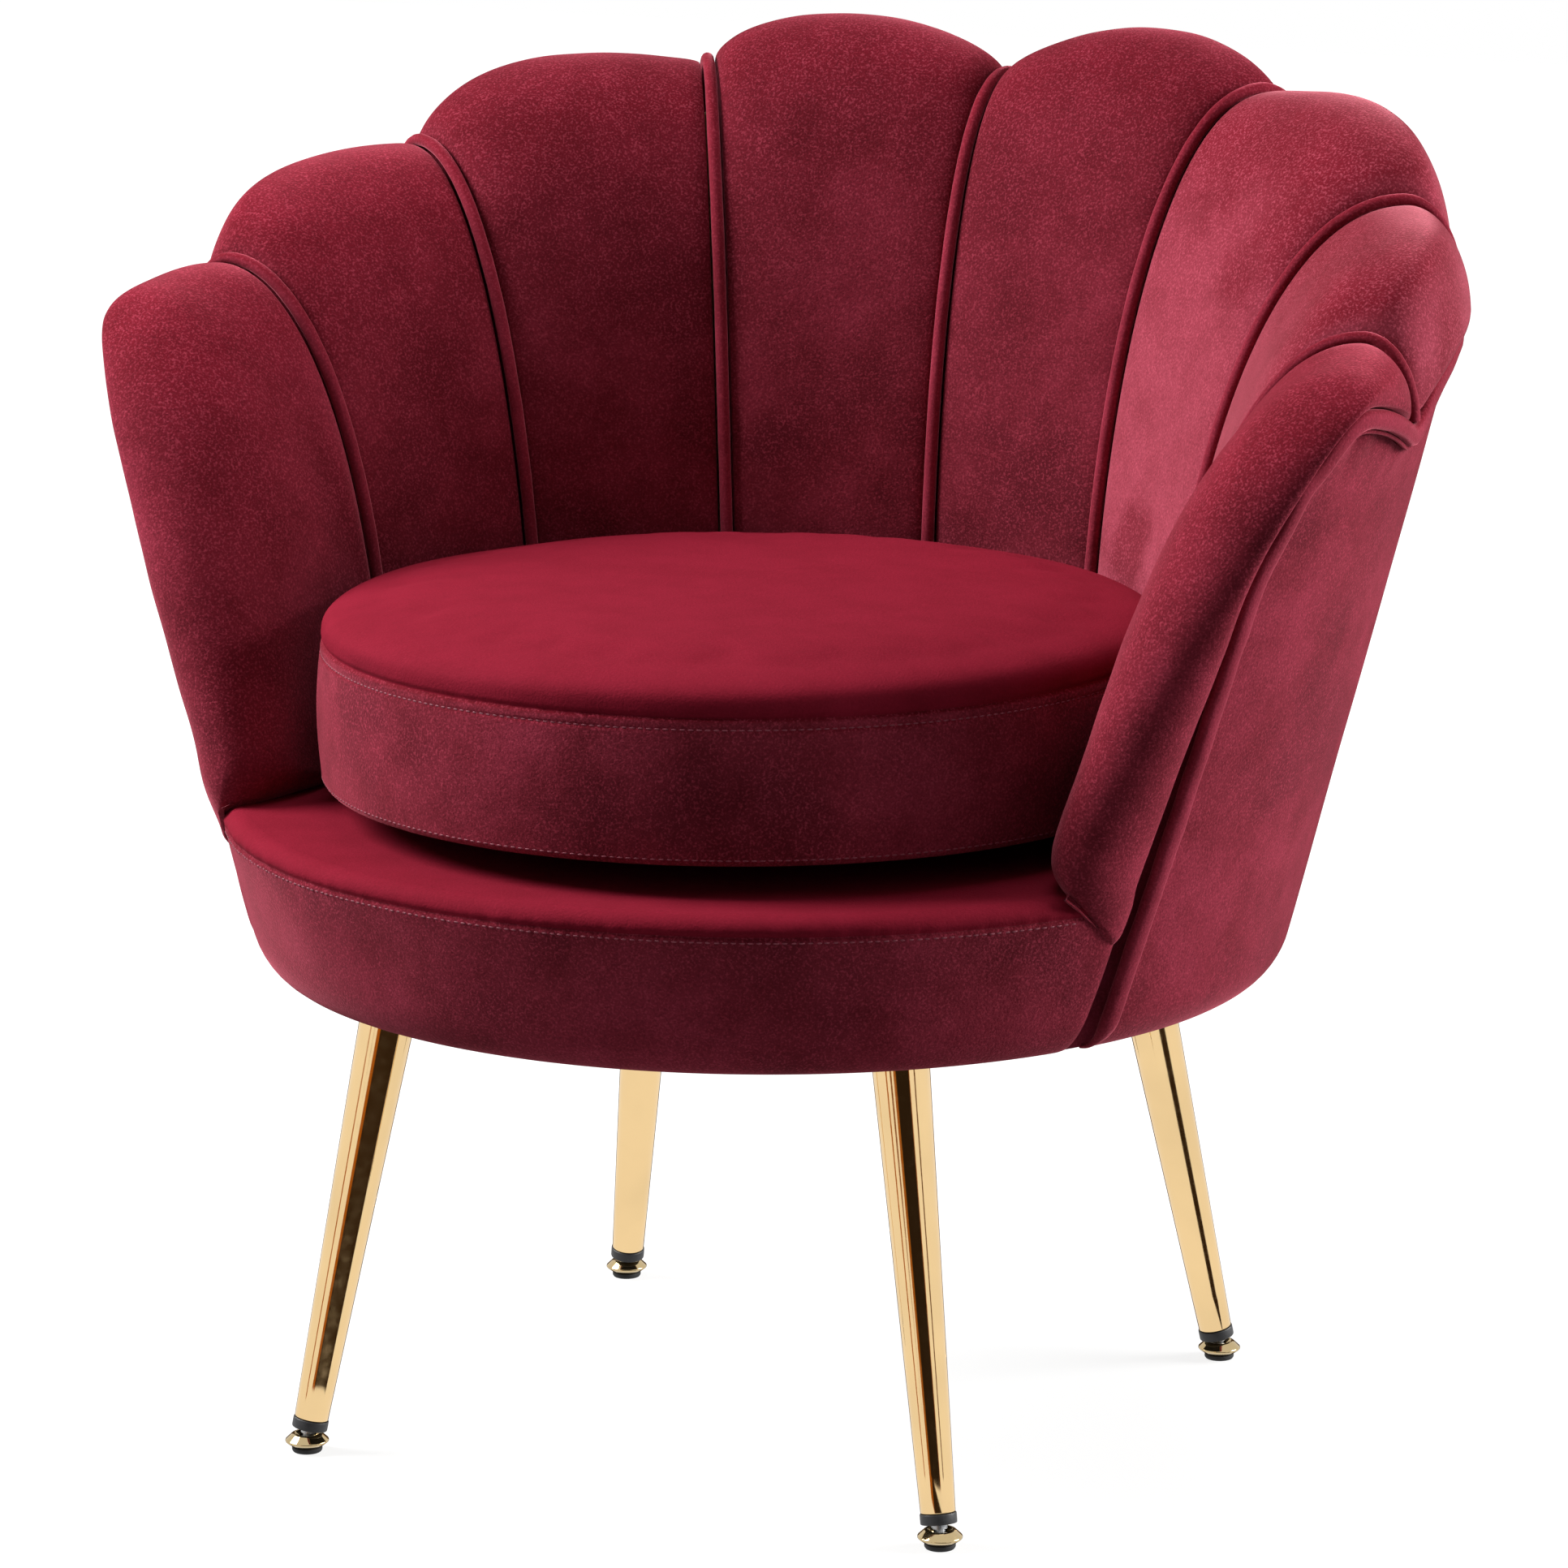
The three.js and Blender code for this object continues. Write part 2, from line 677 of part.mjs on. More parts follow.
// The bent board inside the back and arms
const board_ahead = channel_width + board_lap / 3;
const boardRise = (station) => -boardLap(station);
const board_rim = wholeRim(rimPoints(boardRise, board_ahead, board_corner_row, board_corner_drop));
add(
  "back_board",
  shellLayer(board_rim, board_ahead, frame_bottom, [board_inset, board_inner_inset], board_steps),
  plywood,
);

// Pieces that close the drum's front, from one cover edge round to the other
function frontGrid(profile, ahead) {
  return Array.from({ length: band_steps + 1 }, (_, i) =>
    profile.map(([inset, z]) => {
      const edge = shellTurnAtReach(coverReach(z) + ahead, z, 0);
      return shellPoint(lerp(edge, 2 * PI - edge, i / band_steps), z, inset);
    }),
  );
}

function frontBand() {
  const face = [];
  for (const share of [1, 0.75, 0.4, 0]) {
    const turn = share * (PI / 2);
    face.push([rim_round * (1 - cos(turn)), drum_bottom + rim_rise * (1 - sin(turn))]);
  }
  for (const share of [0, 0.4, 0.75, 1]) {
    const turn = share * (PI / 2);
    face.push([deck_round * (1 - cos(turn)), deck_height - deck_round * (1 - sin(turn))]);
  }
  face.push([cover_thickness, deck_height]);
  const hidden = face.map((_, i) => {
    const share = i / (face.length - 1);
    return [cover_thickness, lerp(drum_bottom, deck_under, share)];
  });
  return slab(frontGrid(face, channel_width), frontGrid(hidden, channel_width));
}
add("front_band", frontBand(), velvet);

const front_board_top = deck_under - gap;
const front_board_profile = (inset) => [
  [inset, frame_bottom],
  [inset, front_board_top],
];
add(
  "front_board",
  slab(
    frontGrid(front_board_profile(board_inset), board_ahead + gap),
    frontGrid(front_board_profile(board_inner_inset), board_ahead + gap),
  ),
  plywood,
);

// Flat pieces of the drum, cut to the shell's plan at their lowest point
function drumOutline(z, inset) {
  return Array.from({ length: round_steps }, (_, i) =>
    shellPoint((i / round_steps) * 2 * PI, z, inset),
  );
}

// The deck cloth reaches the front band and stops inside the board elsewhere
function deckOutline() {
  const edge = shellTurnAtReach(coverReach(deck_under) + board_ahead, deck_under, 0);
  const arc = (from, to, inset) =>
    Array.from({ length: band_steps + 1 }, (_, i) =>
      shellPoint(lerp(from, to, i / band_steps), deck_under, inset),
    );
  return [...arc(-edge, edge, inside_inset), ...arc(edge, 2 * PI - edge, board_inset)];
}
add("deck_cloth", plate(deckOutline(), deck_under, deck_cloth), velvet);
add(
  "deck_foam",
  plate(drumOutline(web_top + gap, inside_inset), web_top + gap, deck_under - web_top - 2 * gap),
  foam,
);

function ringGrid(z) {
  const outer = drumOutline(ring_bottom, inside_inset);
  const inner = drumOutline(ring_bottom, inside_inset + ring_width);
  return outer.map((p, i) => [p.setZ(z), inner[i].setZ(z)]);
}
add("seat_ring", slab(ringGrid(ring_top), ringGrid(ring_bottom), true), plywood);

// Two straps lie across the ring, and two on them from front to back
const strap_reach = shell_radius - inside_inset - ring_width / 2;
[-1, 1].forEach((side, i) => {
  const half_chord = sqrt(strap_reach ** 2 - (web_spacing / 2 + web_width / 2) ** 2);
  const across = new THREE.BoxGeometry(2 * half_chord, web_width, web_thickness);
  const along = new THREE.BoxGeometry(web_width, 2 * half_chord, web_thickness);
  const low = ring_top + gap + web_thickness / 2;
  const high = low + gap + web_thickness;
  add(`webbing_across_${i + 1}`, across.translate(0, drum_y + (side * web_spacing) / 2, low), webbing);
  add(`webbing_along_${i + 1}`, along.translate((side * web_spacing) / 2, drum_y, high), webbing);
});

// The legs: where each meets the base, where it stands, and the line between
const legs = ["front_left", "front_right", "back_left", "back_right"].map((name) => {
  const side = name.endsWith("left") ? -1 : 1;
  const ahead = name.startsWith("front");
  const reach = ahead ? shell_radius : shell_back_radius;
  const at = (inset, turn, z) => {
    const depth = (reach - inset) * cos(turn);
    return vec(side * (reach - inset) * sin(turn), drum_y + (ahead ? -depth : depth), z);
  };
  const top = ahead
    ? at(leg_front_inset, leg_front_turn, frame_bottom)
    : at(leg_back_inset, leg_back_turn, frame_bottom);
  const foot = ahead
    ? at(foot_front_inset, foot_front_turn, 0)
    : at(foot_back_inset, foot_back_turn, 0);
  const axis = top.clone().sub(foot);
  return { name, top, foot, length: axis.length(), axis: axis.normalize() };
});

const base_holes = legs.map(({ top }) => roundHole(top.x, top.y, nut_barrel_radius + gap));
add(
  "base_board",
  plate(drumOutline(frame_bottom + gap, inside_inset), frame_bottom + gap, base_thickness, base_holes),
  plywood,
);

// The leg's own frame: its origin on the floor and +Z up the leg
function alongLeg(geometry, { foot, axis }) {
  const lean = new THREE.Quaternion().setFromUnitVectors(vec(0, 0, 1), axis);
  return geometry.clone().applyQuaternion(lean).translate(foot.x, foot.y, foot.z);
}

const lining_hole = leg_radius_top + lining_margin / 2;
add(
  "base_lining",
  plate(
    drumOutline(drum_bottom, board_inset + lining_margin),
    drum_bottom,
    lining_thickness - gap,
    legs.map(({ top }) => roundHole(top.x, top.y, lining_hole)),
  ),
  lining,
);

const tube_bottom = collar_bottom + collar_height + gap;
function legTube(leg) {
  const end = leg.length + overrun;
  const radiusAt = (height) =>
    lerp(leg_radius_bottom, leg_radius_top, (height - tube_bottom) / (leg.length - tube_bottom));
  const taper = (inset, bottom) =>
    alongLeg(
      turnedPiece(
        [[0, bottom], [radiusAt(bottom) - inset, bottom], [radiusAt(end) - inset, end], [0, end]],
        small_steps,
      ),
      leg,
    );
  const above = (z) =>
    new THREE.BoxGeometry(4 * overrun, 4 * overrun, 4 * overrun).translate(
      leg.top.x,
      leg.top.y,
      z + 2 * overrun,
    );
  const hollow = cut(taper(leg_wall, tube_bottom - overrun), above(frame_bottom - leg_cap));
  const tube = cut(cut(taper(0, tube_bottom), above(frame_bottom)), hollow);
  const stud_bottom = frame_bottom - leg_cap / 2;
  const stud = turnedPiece(
    [
      [0, stud_bottom],
      [stud_radius, stud_bottom],
      [stud_radius, frame_bottom + stud_length],
      [0, frame_bottom + stud_length],
    ],
    small_steps,
  ).translate(leg.top.x, leg.top.y, 0);
  return joined(tube, stud);
}

// The nut sits in the base board with its flange on top, in a pocket of the block
const nut_bottom = frame_bottom + 2 * gap;
const nut_top = base_top + gap + nut_flange;
function legNut() {
  const bore = stud_radius + gap;
  return turnedPiece(
    [
      [bore, nut_bottom],
      [nut_barrel_radius, nut_bottom],
      [nut_barrel_radius, base_top + gap],
      [nut_flange_radius, base_top + gap],
      [nut_flange_radius, nut_top],
      [bore, nut_top],
      [bore, nut_bottom],
    ],
    small_steps,
  );
}

function legBlock({ top }) {
  const bottom = base_top + gap;
  const height = ring_bottom - gap - bottom;
  const turn = atan2(top.y - drum_y, top.x);
  const block = new THREE.BoxGeometry(block_size, block_size, height).rotateZ(turn);
  const pocket = [
    [0, bottom - overrun],
    [nut_flange_radius + gap, bottom - overrun],
    [nut_flange_radius + gap, nut_top + gap],
    [stud_radius + gap, nut_top + gap],
    [stud_radius + gap, ring_bottom + overrun],
    [0, ring_bottom + overrun],
  ];
  return cut(
    block.translate(top.x, top.y, bottom + height / 2),
    turnedPiece(pocket, small_steps).translate(top.x, top.y, 0),
  );
}

// The levelling foot: a screw with a ball end, which carries a disc and its pad
function footStem(leg) {
  const shoulder = collar_bottom - gap;
  const profile = [[0, ball_height - ball_radius]];
  const rounds = 2;
  const neck_turn = acos(stem_radius / ball_radius);
  for (let i = 1; i <= rounds + 1; i++) {
    const turn = lerp(-PI / 2, neck_turn, i / (rounds + 1));
    profile.push([ball_radius * cos(turn), ball_height + ball_radius * sin(turn)]);
  }
  profile.push(
    [stem_radius, shoulder - neck_length],
    [neck_radius, shoulder - neck_length],
    [neck_radius, shoulder],
    [stem_radius, shoulder],
    [stem_radius, shoulder + stem_length],
    [0, shoulder + stem_length],
  );
  return alongLeg(turnedPiece(profile, small_steps), leg);
}

const spigot_radius = leg_radius_bottom - leg_wall - gap;
function legCollar(leg) {
  const bore = stem_radius + gap;
  const top = collar_bottom + collar_height;
  const profile = [
    [bore, collar_bottom],
    [collar_radius, collar_bottom],
    [collar_radius, top],
    [spigot_radius, top],
    [spigot_radius, top + collar_spigot],
    [bore, top + collar_spigot],
    [bore, collar_bottom],
  ];
  return alongLeg(turnedPiece(profile, small_steps), leg);
}

const socket_radius = ball_radius + gap;
const disc_profile = [
  [socket_radius, disc_bottom],
  [pad_radius, disc_bottom],
  [disc_radius, disc_waist],
  [disc_top_radius, disc_top],
  [disc_mouth_radius, disc_top],
  [socket_radius, ball_height],
  [socket_radius, disc_bottom],
];
const pad_profile = [
  [0, 0],
  [pad_foot_radius, 0],
  [pad_radius, pad_round],
  [pad_radius, disc_bottom - gap],
  [socket_radius, disc_bottom - gap],
  [socket_radius, ball_height - ball_radius - gap],
  [0, ball_height - ball_radius - gap],
];

legs.forEach((leg) => {
  add(`leg_${leg.name}`, legTube(leg), gold);
  add(`leg_nut_${leg.name}`, legNut().translate(leg.top.x, leg.top.y, 0), steel);
  add(`leg_block_${leg.name}`, legBlock(leg), plywood);
  add(`leg_collar_${leg.name}`, legCollar(leg), black_plastic);
  add(`foot_stem_${leg.name}`, footStem(leg), steel);
  // The disc and pad stay level, under the ball at the leg's end
  const under = leg.foot.clone().addScaledVector(leg.axis, ball_height / leg.axis.z);
  const disc = turnedPiece(disc_profile, small_steps);
  add(`foot_disc_${leg.name}`, disc.translate(under.x, under.y, 0), gold);
  const pad = turnedPiece(pad_profile, small_steps);
  add(`foot_pad_${leg.name}`, pad.translate(under.x, under.y, 0), black_plastic);
});

// The loose cushion: a cover with a zip across its back, round a foam core
const cushion_under = deck_height + gap;
function cushionProfile(inset) {
  const low = cushion_seam_low;
  const high = cushion_seam_high;
  const radius = cushion_radius - inset;
  const points = [];
  for (const share of [0, 0.45, 0.75, 0.93, 1]) {
    points.push([radius * share, lerp(cushion_under, low, share ** 3) + inset]);
  }
  for (const share of [0.25, 0.5, 0.75]) {
    const z = lerp(low + inset, high - inset, share);
    points.push([radius + cushion_bulge * sin(share * PI), z]);
  }
  for (const share of [1, 0.985, 0.93, 0.8, 0.5, 0]) {
    const crown = cushion_crown * (1 - share ** crown_fullness) ** (1 / crown_fullness);
    points.push([radius * share, high + crown - inset]);
  }
  return points;
}

function zipArc(radius, thickness, height, length) {
  const half = length / (2 * radius);
  const shape = new THREE.Shape();
  shape.absarc(0, 0, radius + thickness, PI / 2 - half, PI / 2 + half, false);
  shape.absarc(0, 0, radius, PI / 2 + half, PI / 2 - half, true);
  const options = { depth: height, bevelEnabled: false, curveSegments: small_steps };
  return new THREE.ExtrudeGeometry(shape, options);
}

const zip_middle = (cushion_seam_low + cushion_seam_high) / 2;
const zip_radius = cushion_radius + cushion_bulge - cushion_cloth;
const cushion_shell = cut(
  turnedPiece(cushionProfile(0), round_steps),
  turnedPiece(cushionProfile(cushion_cloth), round_steps),
  zipArc(zip_radius - overrun / 2, overrun, zip_height + 2 * gap, zip_length + 2 * gap).translate(
    0,
    0,
    zip_middle - zip_height / 2 - gap,
  ),
);
add("cushion_cover", cushion_shell.translate(0, bowl_y, 0), velvet);
add(
  "cushion_foam",
  turnedPiece(cushionProfile(cushion_cloth + gap), round_steps).translate(0, bowl_y, 0),
  foam,
);
add(
  "cushion_zip",
  zipArc(zip_radius, zip_thickness, zip_height, zip_length).translate(
    0,
    bowl_y,
    zip_middle - zip_height / 2,
  ),
  black_plastic,
);

export default chair;
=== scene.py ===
"""Upholstery, legs and studio of a scallop back tub chair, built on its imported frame."""

import math
from math import acos, asin, atan2, cos, exp, pi, radians, sin, sqrt

import bmesh
import bpy
from bpy.props import FloatProperty, FloatVectorProperty, PointerProperty
from mathutils import Matrix, Vector, noise
from mathutils.bvhtree import BVHTree


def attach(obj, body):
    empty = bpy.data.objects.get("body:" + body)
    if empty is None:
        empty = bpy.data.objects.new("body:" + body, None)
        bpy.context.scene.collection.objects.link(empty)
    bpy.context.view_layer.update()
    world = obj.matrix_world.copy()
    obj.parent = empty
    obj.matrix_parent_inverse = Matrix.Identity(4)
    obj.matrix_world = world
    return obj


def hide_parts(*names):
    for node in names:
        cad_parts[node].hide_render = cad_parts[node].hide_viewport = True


bl_info = {
    "name": "Scallop back chair",
    "version": (1, 0, 0),
    "blender": (4, 5, 0),
    "location": "View3D > Sidebar > Chair",
    "description": "Builds the upholstery, legs and studio of a scallop back tub chair",
    "category": "Add Mesh",
}

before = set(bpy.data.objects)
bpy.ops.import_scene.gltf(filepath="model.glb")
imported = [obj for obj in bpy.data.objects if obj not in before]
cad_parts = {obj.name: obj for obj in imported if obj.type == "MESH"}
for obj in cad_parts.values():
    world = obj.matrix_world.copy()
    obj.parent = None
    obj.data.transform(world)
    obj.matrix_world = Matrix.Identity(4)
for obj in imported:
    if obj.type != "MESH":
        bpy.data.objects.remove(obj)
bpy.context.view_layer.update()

MM = 0.001
SHARP_ANGLE = radians(55)
ON_AXIS = 1e-6  # a turned profile's point with a smaller radius is on its axis
WELD_DISTANCE = 1e-4
UPRIGHT = 1e-4  # a cord whose way across is shorter stands upright
LARGEST_CUT = 2.2  # a rounded corner leaves its sides divided by this to the next one
SEED_STEPS = (7.3, 3.1, 5.7)  # how far a seed moves the noise along each axis

# The shell, in millimetres as in the part's source. It is an ellipse at every height,
# given at deck height, and it flares by its shares of the rise.
DECK_HEIGHT = 369
DRUM_BOTTOM = 274
SHELL_SIDE = 319
SHELL_FRONT = 319
SHELL_BACK = 315
SIDE_FLARE = 0.27
FRONT_FLARE = 0.25
BACK_FLARE = 0.117

# The petal pads
BACK_HEIGHT = 754
ARM_HEIGHT = 657
SCALLOP_RISE = 29
SEAM_DROP = 46
SEAM_RISE = 18
RIDGE_INSET = 37
WALL_RADIUS = 250
WALL_BULGE = 5
BOWL_FORWARD = 39
ARM_REACH = 129
ARM_ANGLE = radians(83)
ARM_END_ANGLE = radians(99.5)
SEAM_OVERHANG = 3
PETAL_OVERHANG = 4
ARM_OVERHANG = 12
ROLL_WRAP = radians(125)

# The upholstery round the shell
COVER_THICKNESS = 14
COVER_REACH_TOP = 66
COVER_REACH_BOTTOM = 87
CHANNEL_WIDTH = 17
CORNER_DROP = 18
RIM_ROUND = 13
RIM_RISE = 22
DECK_ROUND = 9
DECK_CLOTH = 4
PIPING_RADIUS = 3.8
WELT_RADIUS = 4.3
WELT_CLEAR = 3.3
WELT_PROUD = 7.5  # how far the arm's roll pushes the welt out at the arm's top
PUSH_RISE = (530, 70)  # from what height on, and over what height the push grows
PUSH_FORWARD = (90, 70)  # from how far behind the bowl's middle on, and over what depth
PANEL_RADIUS = 340  # about the outside panel's own, to lay its puckers along it
PANEL_LENGTH = 730  # about the drum's front panel's
CORD_SINK = 0.35
BOARD_LAP = 12
BOARD_LAP_SHARE = 0.45
BOARD_CLEAR = 6
INSIDE_INSET = 28.3
GAP = 0.3
BEND_GAP = 1
WELT_SLOT = WELT_CLEAR + 2 * WELT_RADIUS + BEND_GAP

# The cushion, the legs and the feet
CUSHION_RADIUS = 240
CUSHION_BULGE = 3
SEAM_LOW = 388
SEAM_HIGH = 469.5
CUSHION_CROWN = 27
LEG_FRONT_INSET = 89.9
LEG_BACK_INSET = 87.7
FOOT_FRONT_INSET = 35.1
FOOT_BACK_INSET = 27.2
LEG_FRONT_TURN = radians(43.94)
LEG_BACK_TURN = radians(44.38)
FOOT_FRONT_TURN = radians(45.36)
FOOT_BACK_TURN = radians(44.58)
LEG_TOP_RADIUS = 16.4
LEG_FOOT_RADIUS = 9.8
COLLAR_BOTTOM = 14
COLLAR_HEIGHT = 6
COLLAR_RADIUS = 10.3
FRAME_BOTTOM = 275.2
BALL_HEIGHT = 6.4
BALL_RADIUS = 3.6
SCREW_RADIUS = 3.2
SHOULDER_RADIUS = 4.6
SHOULDER_HEIGHT = 2.6
SCREW_LENGTH = 30  # above its shoulder

DRUM_Y = (
    SHELL_FRONT
    - FRONT_FLARE * DECK_ROUND
    - SHELL_BACK
    - BACK_FLARE * (BACK_HEIGHT - SEAM_DROP - DECK_HEIGHT)
    - SEAM_OVERHANG
    - PETAL_OVERHANG
) / 2
BOWL_Y = DRUM_Y - BOWL_FORWARD
PETAL_FOOT = DECK_HEIGHT + GAP

# A piping's angles at its foot and at its notch are shares of ARM_ANGLE, and its notch
# lies between ARM_HEIGHT and BACK_HEIGHT.
PIPING_FEET = [share * ARM_ANGLE for share in (0, 0.336, 0.666, 1.005)]
PIPINGS = [share * ARM_ANGLE for share in (0, 0.356, 0.69, 1)]
NOTCHES = [ARM_HEIGHT + share * (BACK_HEIGHT - ARM_HEIGHT) for share in (1, 1.03, 0.57, 0)]
PETAL_RISES = (1, 0.78, 0.88)
PETAL_LEANS = (0, 0.7, 0.65)
SCALLOP_FULLNESS = 1.2
BACK_FULLNESS = 0.91
WRAP_START = 0.35

# The arm's end, from its piping down to the deck: the inner foot between ARM_ANGLE and
# ARM_END_ANGLE, the ridge's reach, height and inset, then the seam's reach and height.
ARM_SHARES = (
    (0.1, -0.157, 1, 0.8, -0.15, 0.872),
    (0.2, 0.05, 0.985, 0.55, 0.11, 0.906),
    (0.3, 0.25, 0.962, 0.36, 0.29, 0.91),
    (0.42, 0.44, 0.9, 0.28, 0.43, 0.868),
    (0.54, 0.61, 0.8, 0.26, 0.555, 0.774),
)
# The nose below them, where the seam follows the cover's front edge
NOSE_SHARES = (
    (0.66, 0.765, 0.645, 0.27, 0.62),
    (0.76, 0.895, 0.455, 0.31, 0.444),
    (0.86, 0.98, 0.267, 0.34, 0.264),
    (0.94, 1.04, 0.108, 0.33, 0.1),
    (1, 1.06, 0, 0.27, 0),
)
# The tongue of the arm's pad below the deck, row by row down to its tip: the turn in degrees,
# the height and how far it stands proud, at its inner edge, its ridge and its outer edge.
# Its back lies a little inside the drum's panel.
TONGUE = (
    ((125.4, 372.5, 2.2), (121.6, 366.5, 4), (115.4, 364.5, 0.8)),
    ((123.4, 366.8, 2.4), (120.2, 359.5, 5), (115.6, 357.5, 0.8)),
    ((121.7, 359.0, 2.4), (119.2, 353.0, 5), (115.9, 350.5, 0.8)),
    ((120.1, 351.5, 2.2), (118.4, 347.0, 4.5), (116.3, 344.5, 0.8)),
    ((118.6, 344.2, 1.8), (117.8, 342.0, 3.4), (116.8, 340.5, 0.7)),
)
TONGUE_TIP = (117.3, 337.2)
TONGUE_TIP_INSET = 0.5
TONGUE_BACK_INSET = 1.5
NOSE_FILL = 6  # how much the filling pushes the nose ahead over the deck
NOSE_FILL_LOWEST = 5  # and how much more just above it
CORNER_SHARE = 0.5  # where along the arm its cover turns from the top edge to the front one

# The pads given a painted-shade copy of the velvet (3 to 5) and a painted-light copy (6 and 7)
PAD_FINISHES = {
    3: "velvet_wine_painted_shade",
    4: "velvet_wine_painted_shade",
    5: "velvet_wine_painted_shade",
    6: "velvet_wine_painted_lit",
    7: "velvet_wine_painted_lit",
}

# A leg's inset and turn and its height, at its foot and at its top, and the shell's reach there
FRONT_LEG = (
    (FOOT_FRONT_INSET, FOOT_FRONT_TURN, 0),
    (LEG_FRONT_INSET, LEG_FRONT_TURN, FRAME_BOTTOM),
)
BACK_LEG = (
    (FOOT_BACK_INSET, FOOT_BACK_TURN, 0),
    (LEG_BACK_INSET, LEG_BACK_TURN, FRAME_BOTTOM),
)
LEGS = {
    "front_left": (-1, -1, SHELL_FRONT, FRONT_LEG),
    "front_right": (1, -1, SHELL_FRONT, FRONT_LEG),
    "back_left": (-1, 1, SHELL_BACK, BACK_LEG),
    "back_right": (1, 1, SHELL_BACK, BACK_LEG),
}


def lerp(start, end, share):
    return start + (end - start) * share


def quarter(steps, first=0):
    """Even turns over a quarter of a circle, from its start or from a later step on."""
    return [i / steps * pi / 2 for i in range(first, steps + 1)]


def shell_size(z, inset):
    rise = z - DECK_HEIGHT
    return (
        SHELL_SIDE + SIDE_FLARE * rise - inset,
        SHELL_FRONT + FRONT_FLARE * rise - inset,
        SHELL_BACK + BACK_FLARE * rise - inset,
    )


def shell_point(turn, z, inset):
    """The shell at a turn about the drum's axis, nothing at the back and pi at the front."""
    side, front, back = shell_size(z, inset)
    depth = front if cos(turn) < 0 else back
    return Vector((side * sin(turn), DRUM_Y + depth * cos(turn), z))


def shell_turn_at_reach(reach, z, inset):
    _, front, back = shell_size(z, inset)
    depth = BOWL_Y - reach - DRUM_Y
    return acos(depth / (front if depth < 0 else back))


def shell_on_ray(angle, z, inset):
    """Where a ray from the bowl's axis meets the shell."""
    side, front, back = shell_size(z, inset)

    def meet(depth):
        across = sin(angle) / side
        along = cos(angle) / depth
        start = -BOWL_FORWARD / depth
        square = across * across + along * along
        half = start * along
        far = (-half + sqrt(half * half - square * (start * start - 1))) / square
        return Vector((far * sin(angle), BOWL_Y + far * cos(angle), z))

    behind = meet(back)
    return meet(front) if behind.y < DRUM_Y else behind


def shell_turn_of(point, inset):
    side, front, back = shell_size(point.z, inset)
    depth = point.y - DRUM_Y
    return atan2(point.x / side, depth / (front if depth < 0 else back))


def cover_reach(z):
    share = (z - DRUM_BOTTOM) / (ARM_HEIGHT - DRUM_BOTTOM)
    return lerp(COVER_REACH_BOTTOM, COVER_REACH_TOP, share)


def cover_turn(z, ahead=0):
    return shell_turn_at_reach(cover_reach(z) + ahead, z, 0)


def spline(values, share):
    """A smooth line through evenly spaced values."""
    last = len(values) - 1
    step = min(int(last * share), last - 1)
    t = last * share - step
    before, start, end, after = (
        values[min(max(step + i, 0), last)] for i in (-1, 0, 1, 2)
    )
    leave = (end - before) / 2
    arrive = (after - start) / 2
    return (
        (2 * start - 2 * end + leave + arrive) * t**3
        + (-3 * start + 3 * end - 2 * leave - arrive) * t**2
        + leave * t
        + start
    )


NOTCH_LINE = NOTCHES[:0:-1] + NOTCHES


def curve(points, share):
    """A centripetal Catmull-Rom curve through points."""
    last = len(points) - 1
    step = min(int(last * share), last - 1)
    t = last * share - step
    start, end = points[step], points[step + 1]
    before = points[step - 1] if step > 0 else 2 * start - end
    after = points[step + 2] if step + 2 <= last else 2 * end - start
    spans = [sqrt((b - a).length) for a, b in ((before, start), (start, end), (end, after))]
    first, span, third = spans
    leave = (start - before) / first - (end - before) / (first + span) + (end - start) / span
    arrive = (end - start) / span - (after - start) / (span + third) + (after - end) / third
    leave, arrive = leave * span, arrive * span
    return (
        start
        + leave * t
        + (3 * (end - start) - 2 * leave - arrive) * t**2
        + (2 * (start - end) + leave + arrive) * t**3
    )


def unit_out(angle):
    return Vector((sin(angle), cos(angle), 0))


def back_station(place, bulge, shift=0):
    """The foot, ridge and seam of the pads at a place counted in pipings from the middle."""
    petal = min(int(place), len(PIPINGS) - 2)
    share = place - petal
    angle = lerp(PIPINGS[petal], PIPINGS[petal + 1], share)
    foot_angle = lerp(PIPING_FEET[petal], PIPING_FEET[petal + 1], share)
    last = len(NOTCHES) - 1
    pitch = SHELL_SIDE * (PIPINGS[petal + 1] - PIPINGS[petal])
    along = min(place + shift / pitch, last)
    notch = spline(NOTCH_LINE, (along + last) / (2 * last))
    lean = 1 + PETAL_LEANS[petal] * (2 * share - 1)
    crown = bulge * lean * PETAL_RISES[petal]
    radius = WALL_RADIUS - WALL_BULGE * bulge
    aside = Vector((cos(angle), -sin(angle), 0)) * shift
    overhang = SEAM_OVERHANG + PETAL_OVERHANG * bulge
    foot = Vector((radius * sin(foot_angle), BOWL_Y + radius * cos(foot_angle), PETAL_FOOT))
    ridge = shell_on_ray(angle, notch + SCALLOP_RISE * crown, RIDGE_INSET)
    seam = shell_on_ray(angle, notch - SEAM_DROP + SEAM_RISE * crown * bulge, -overhang)
    return {
        "angle": angle,
        "wrap": pi / 2,
        "fullness": lerp(BACK_FULLNESS, 1, place / last),
        "foot": foot + aside,
        "ridge": ridge + aside,
        "seam": seam + aside,
    }


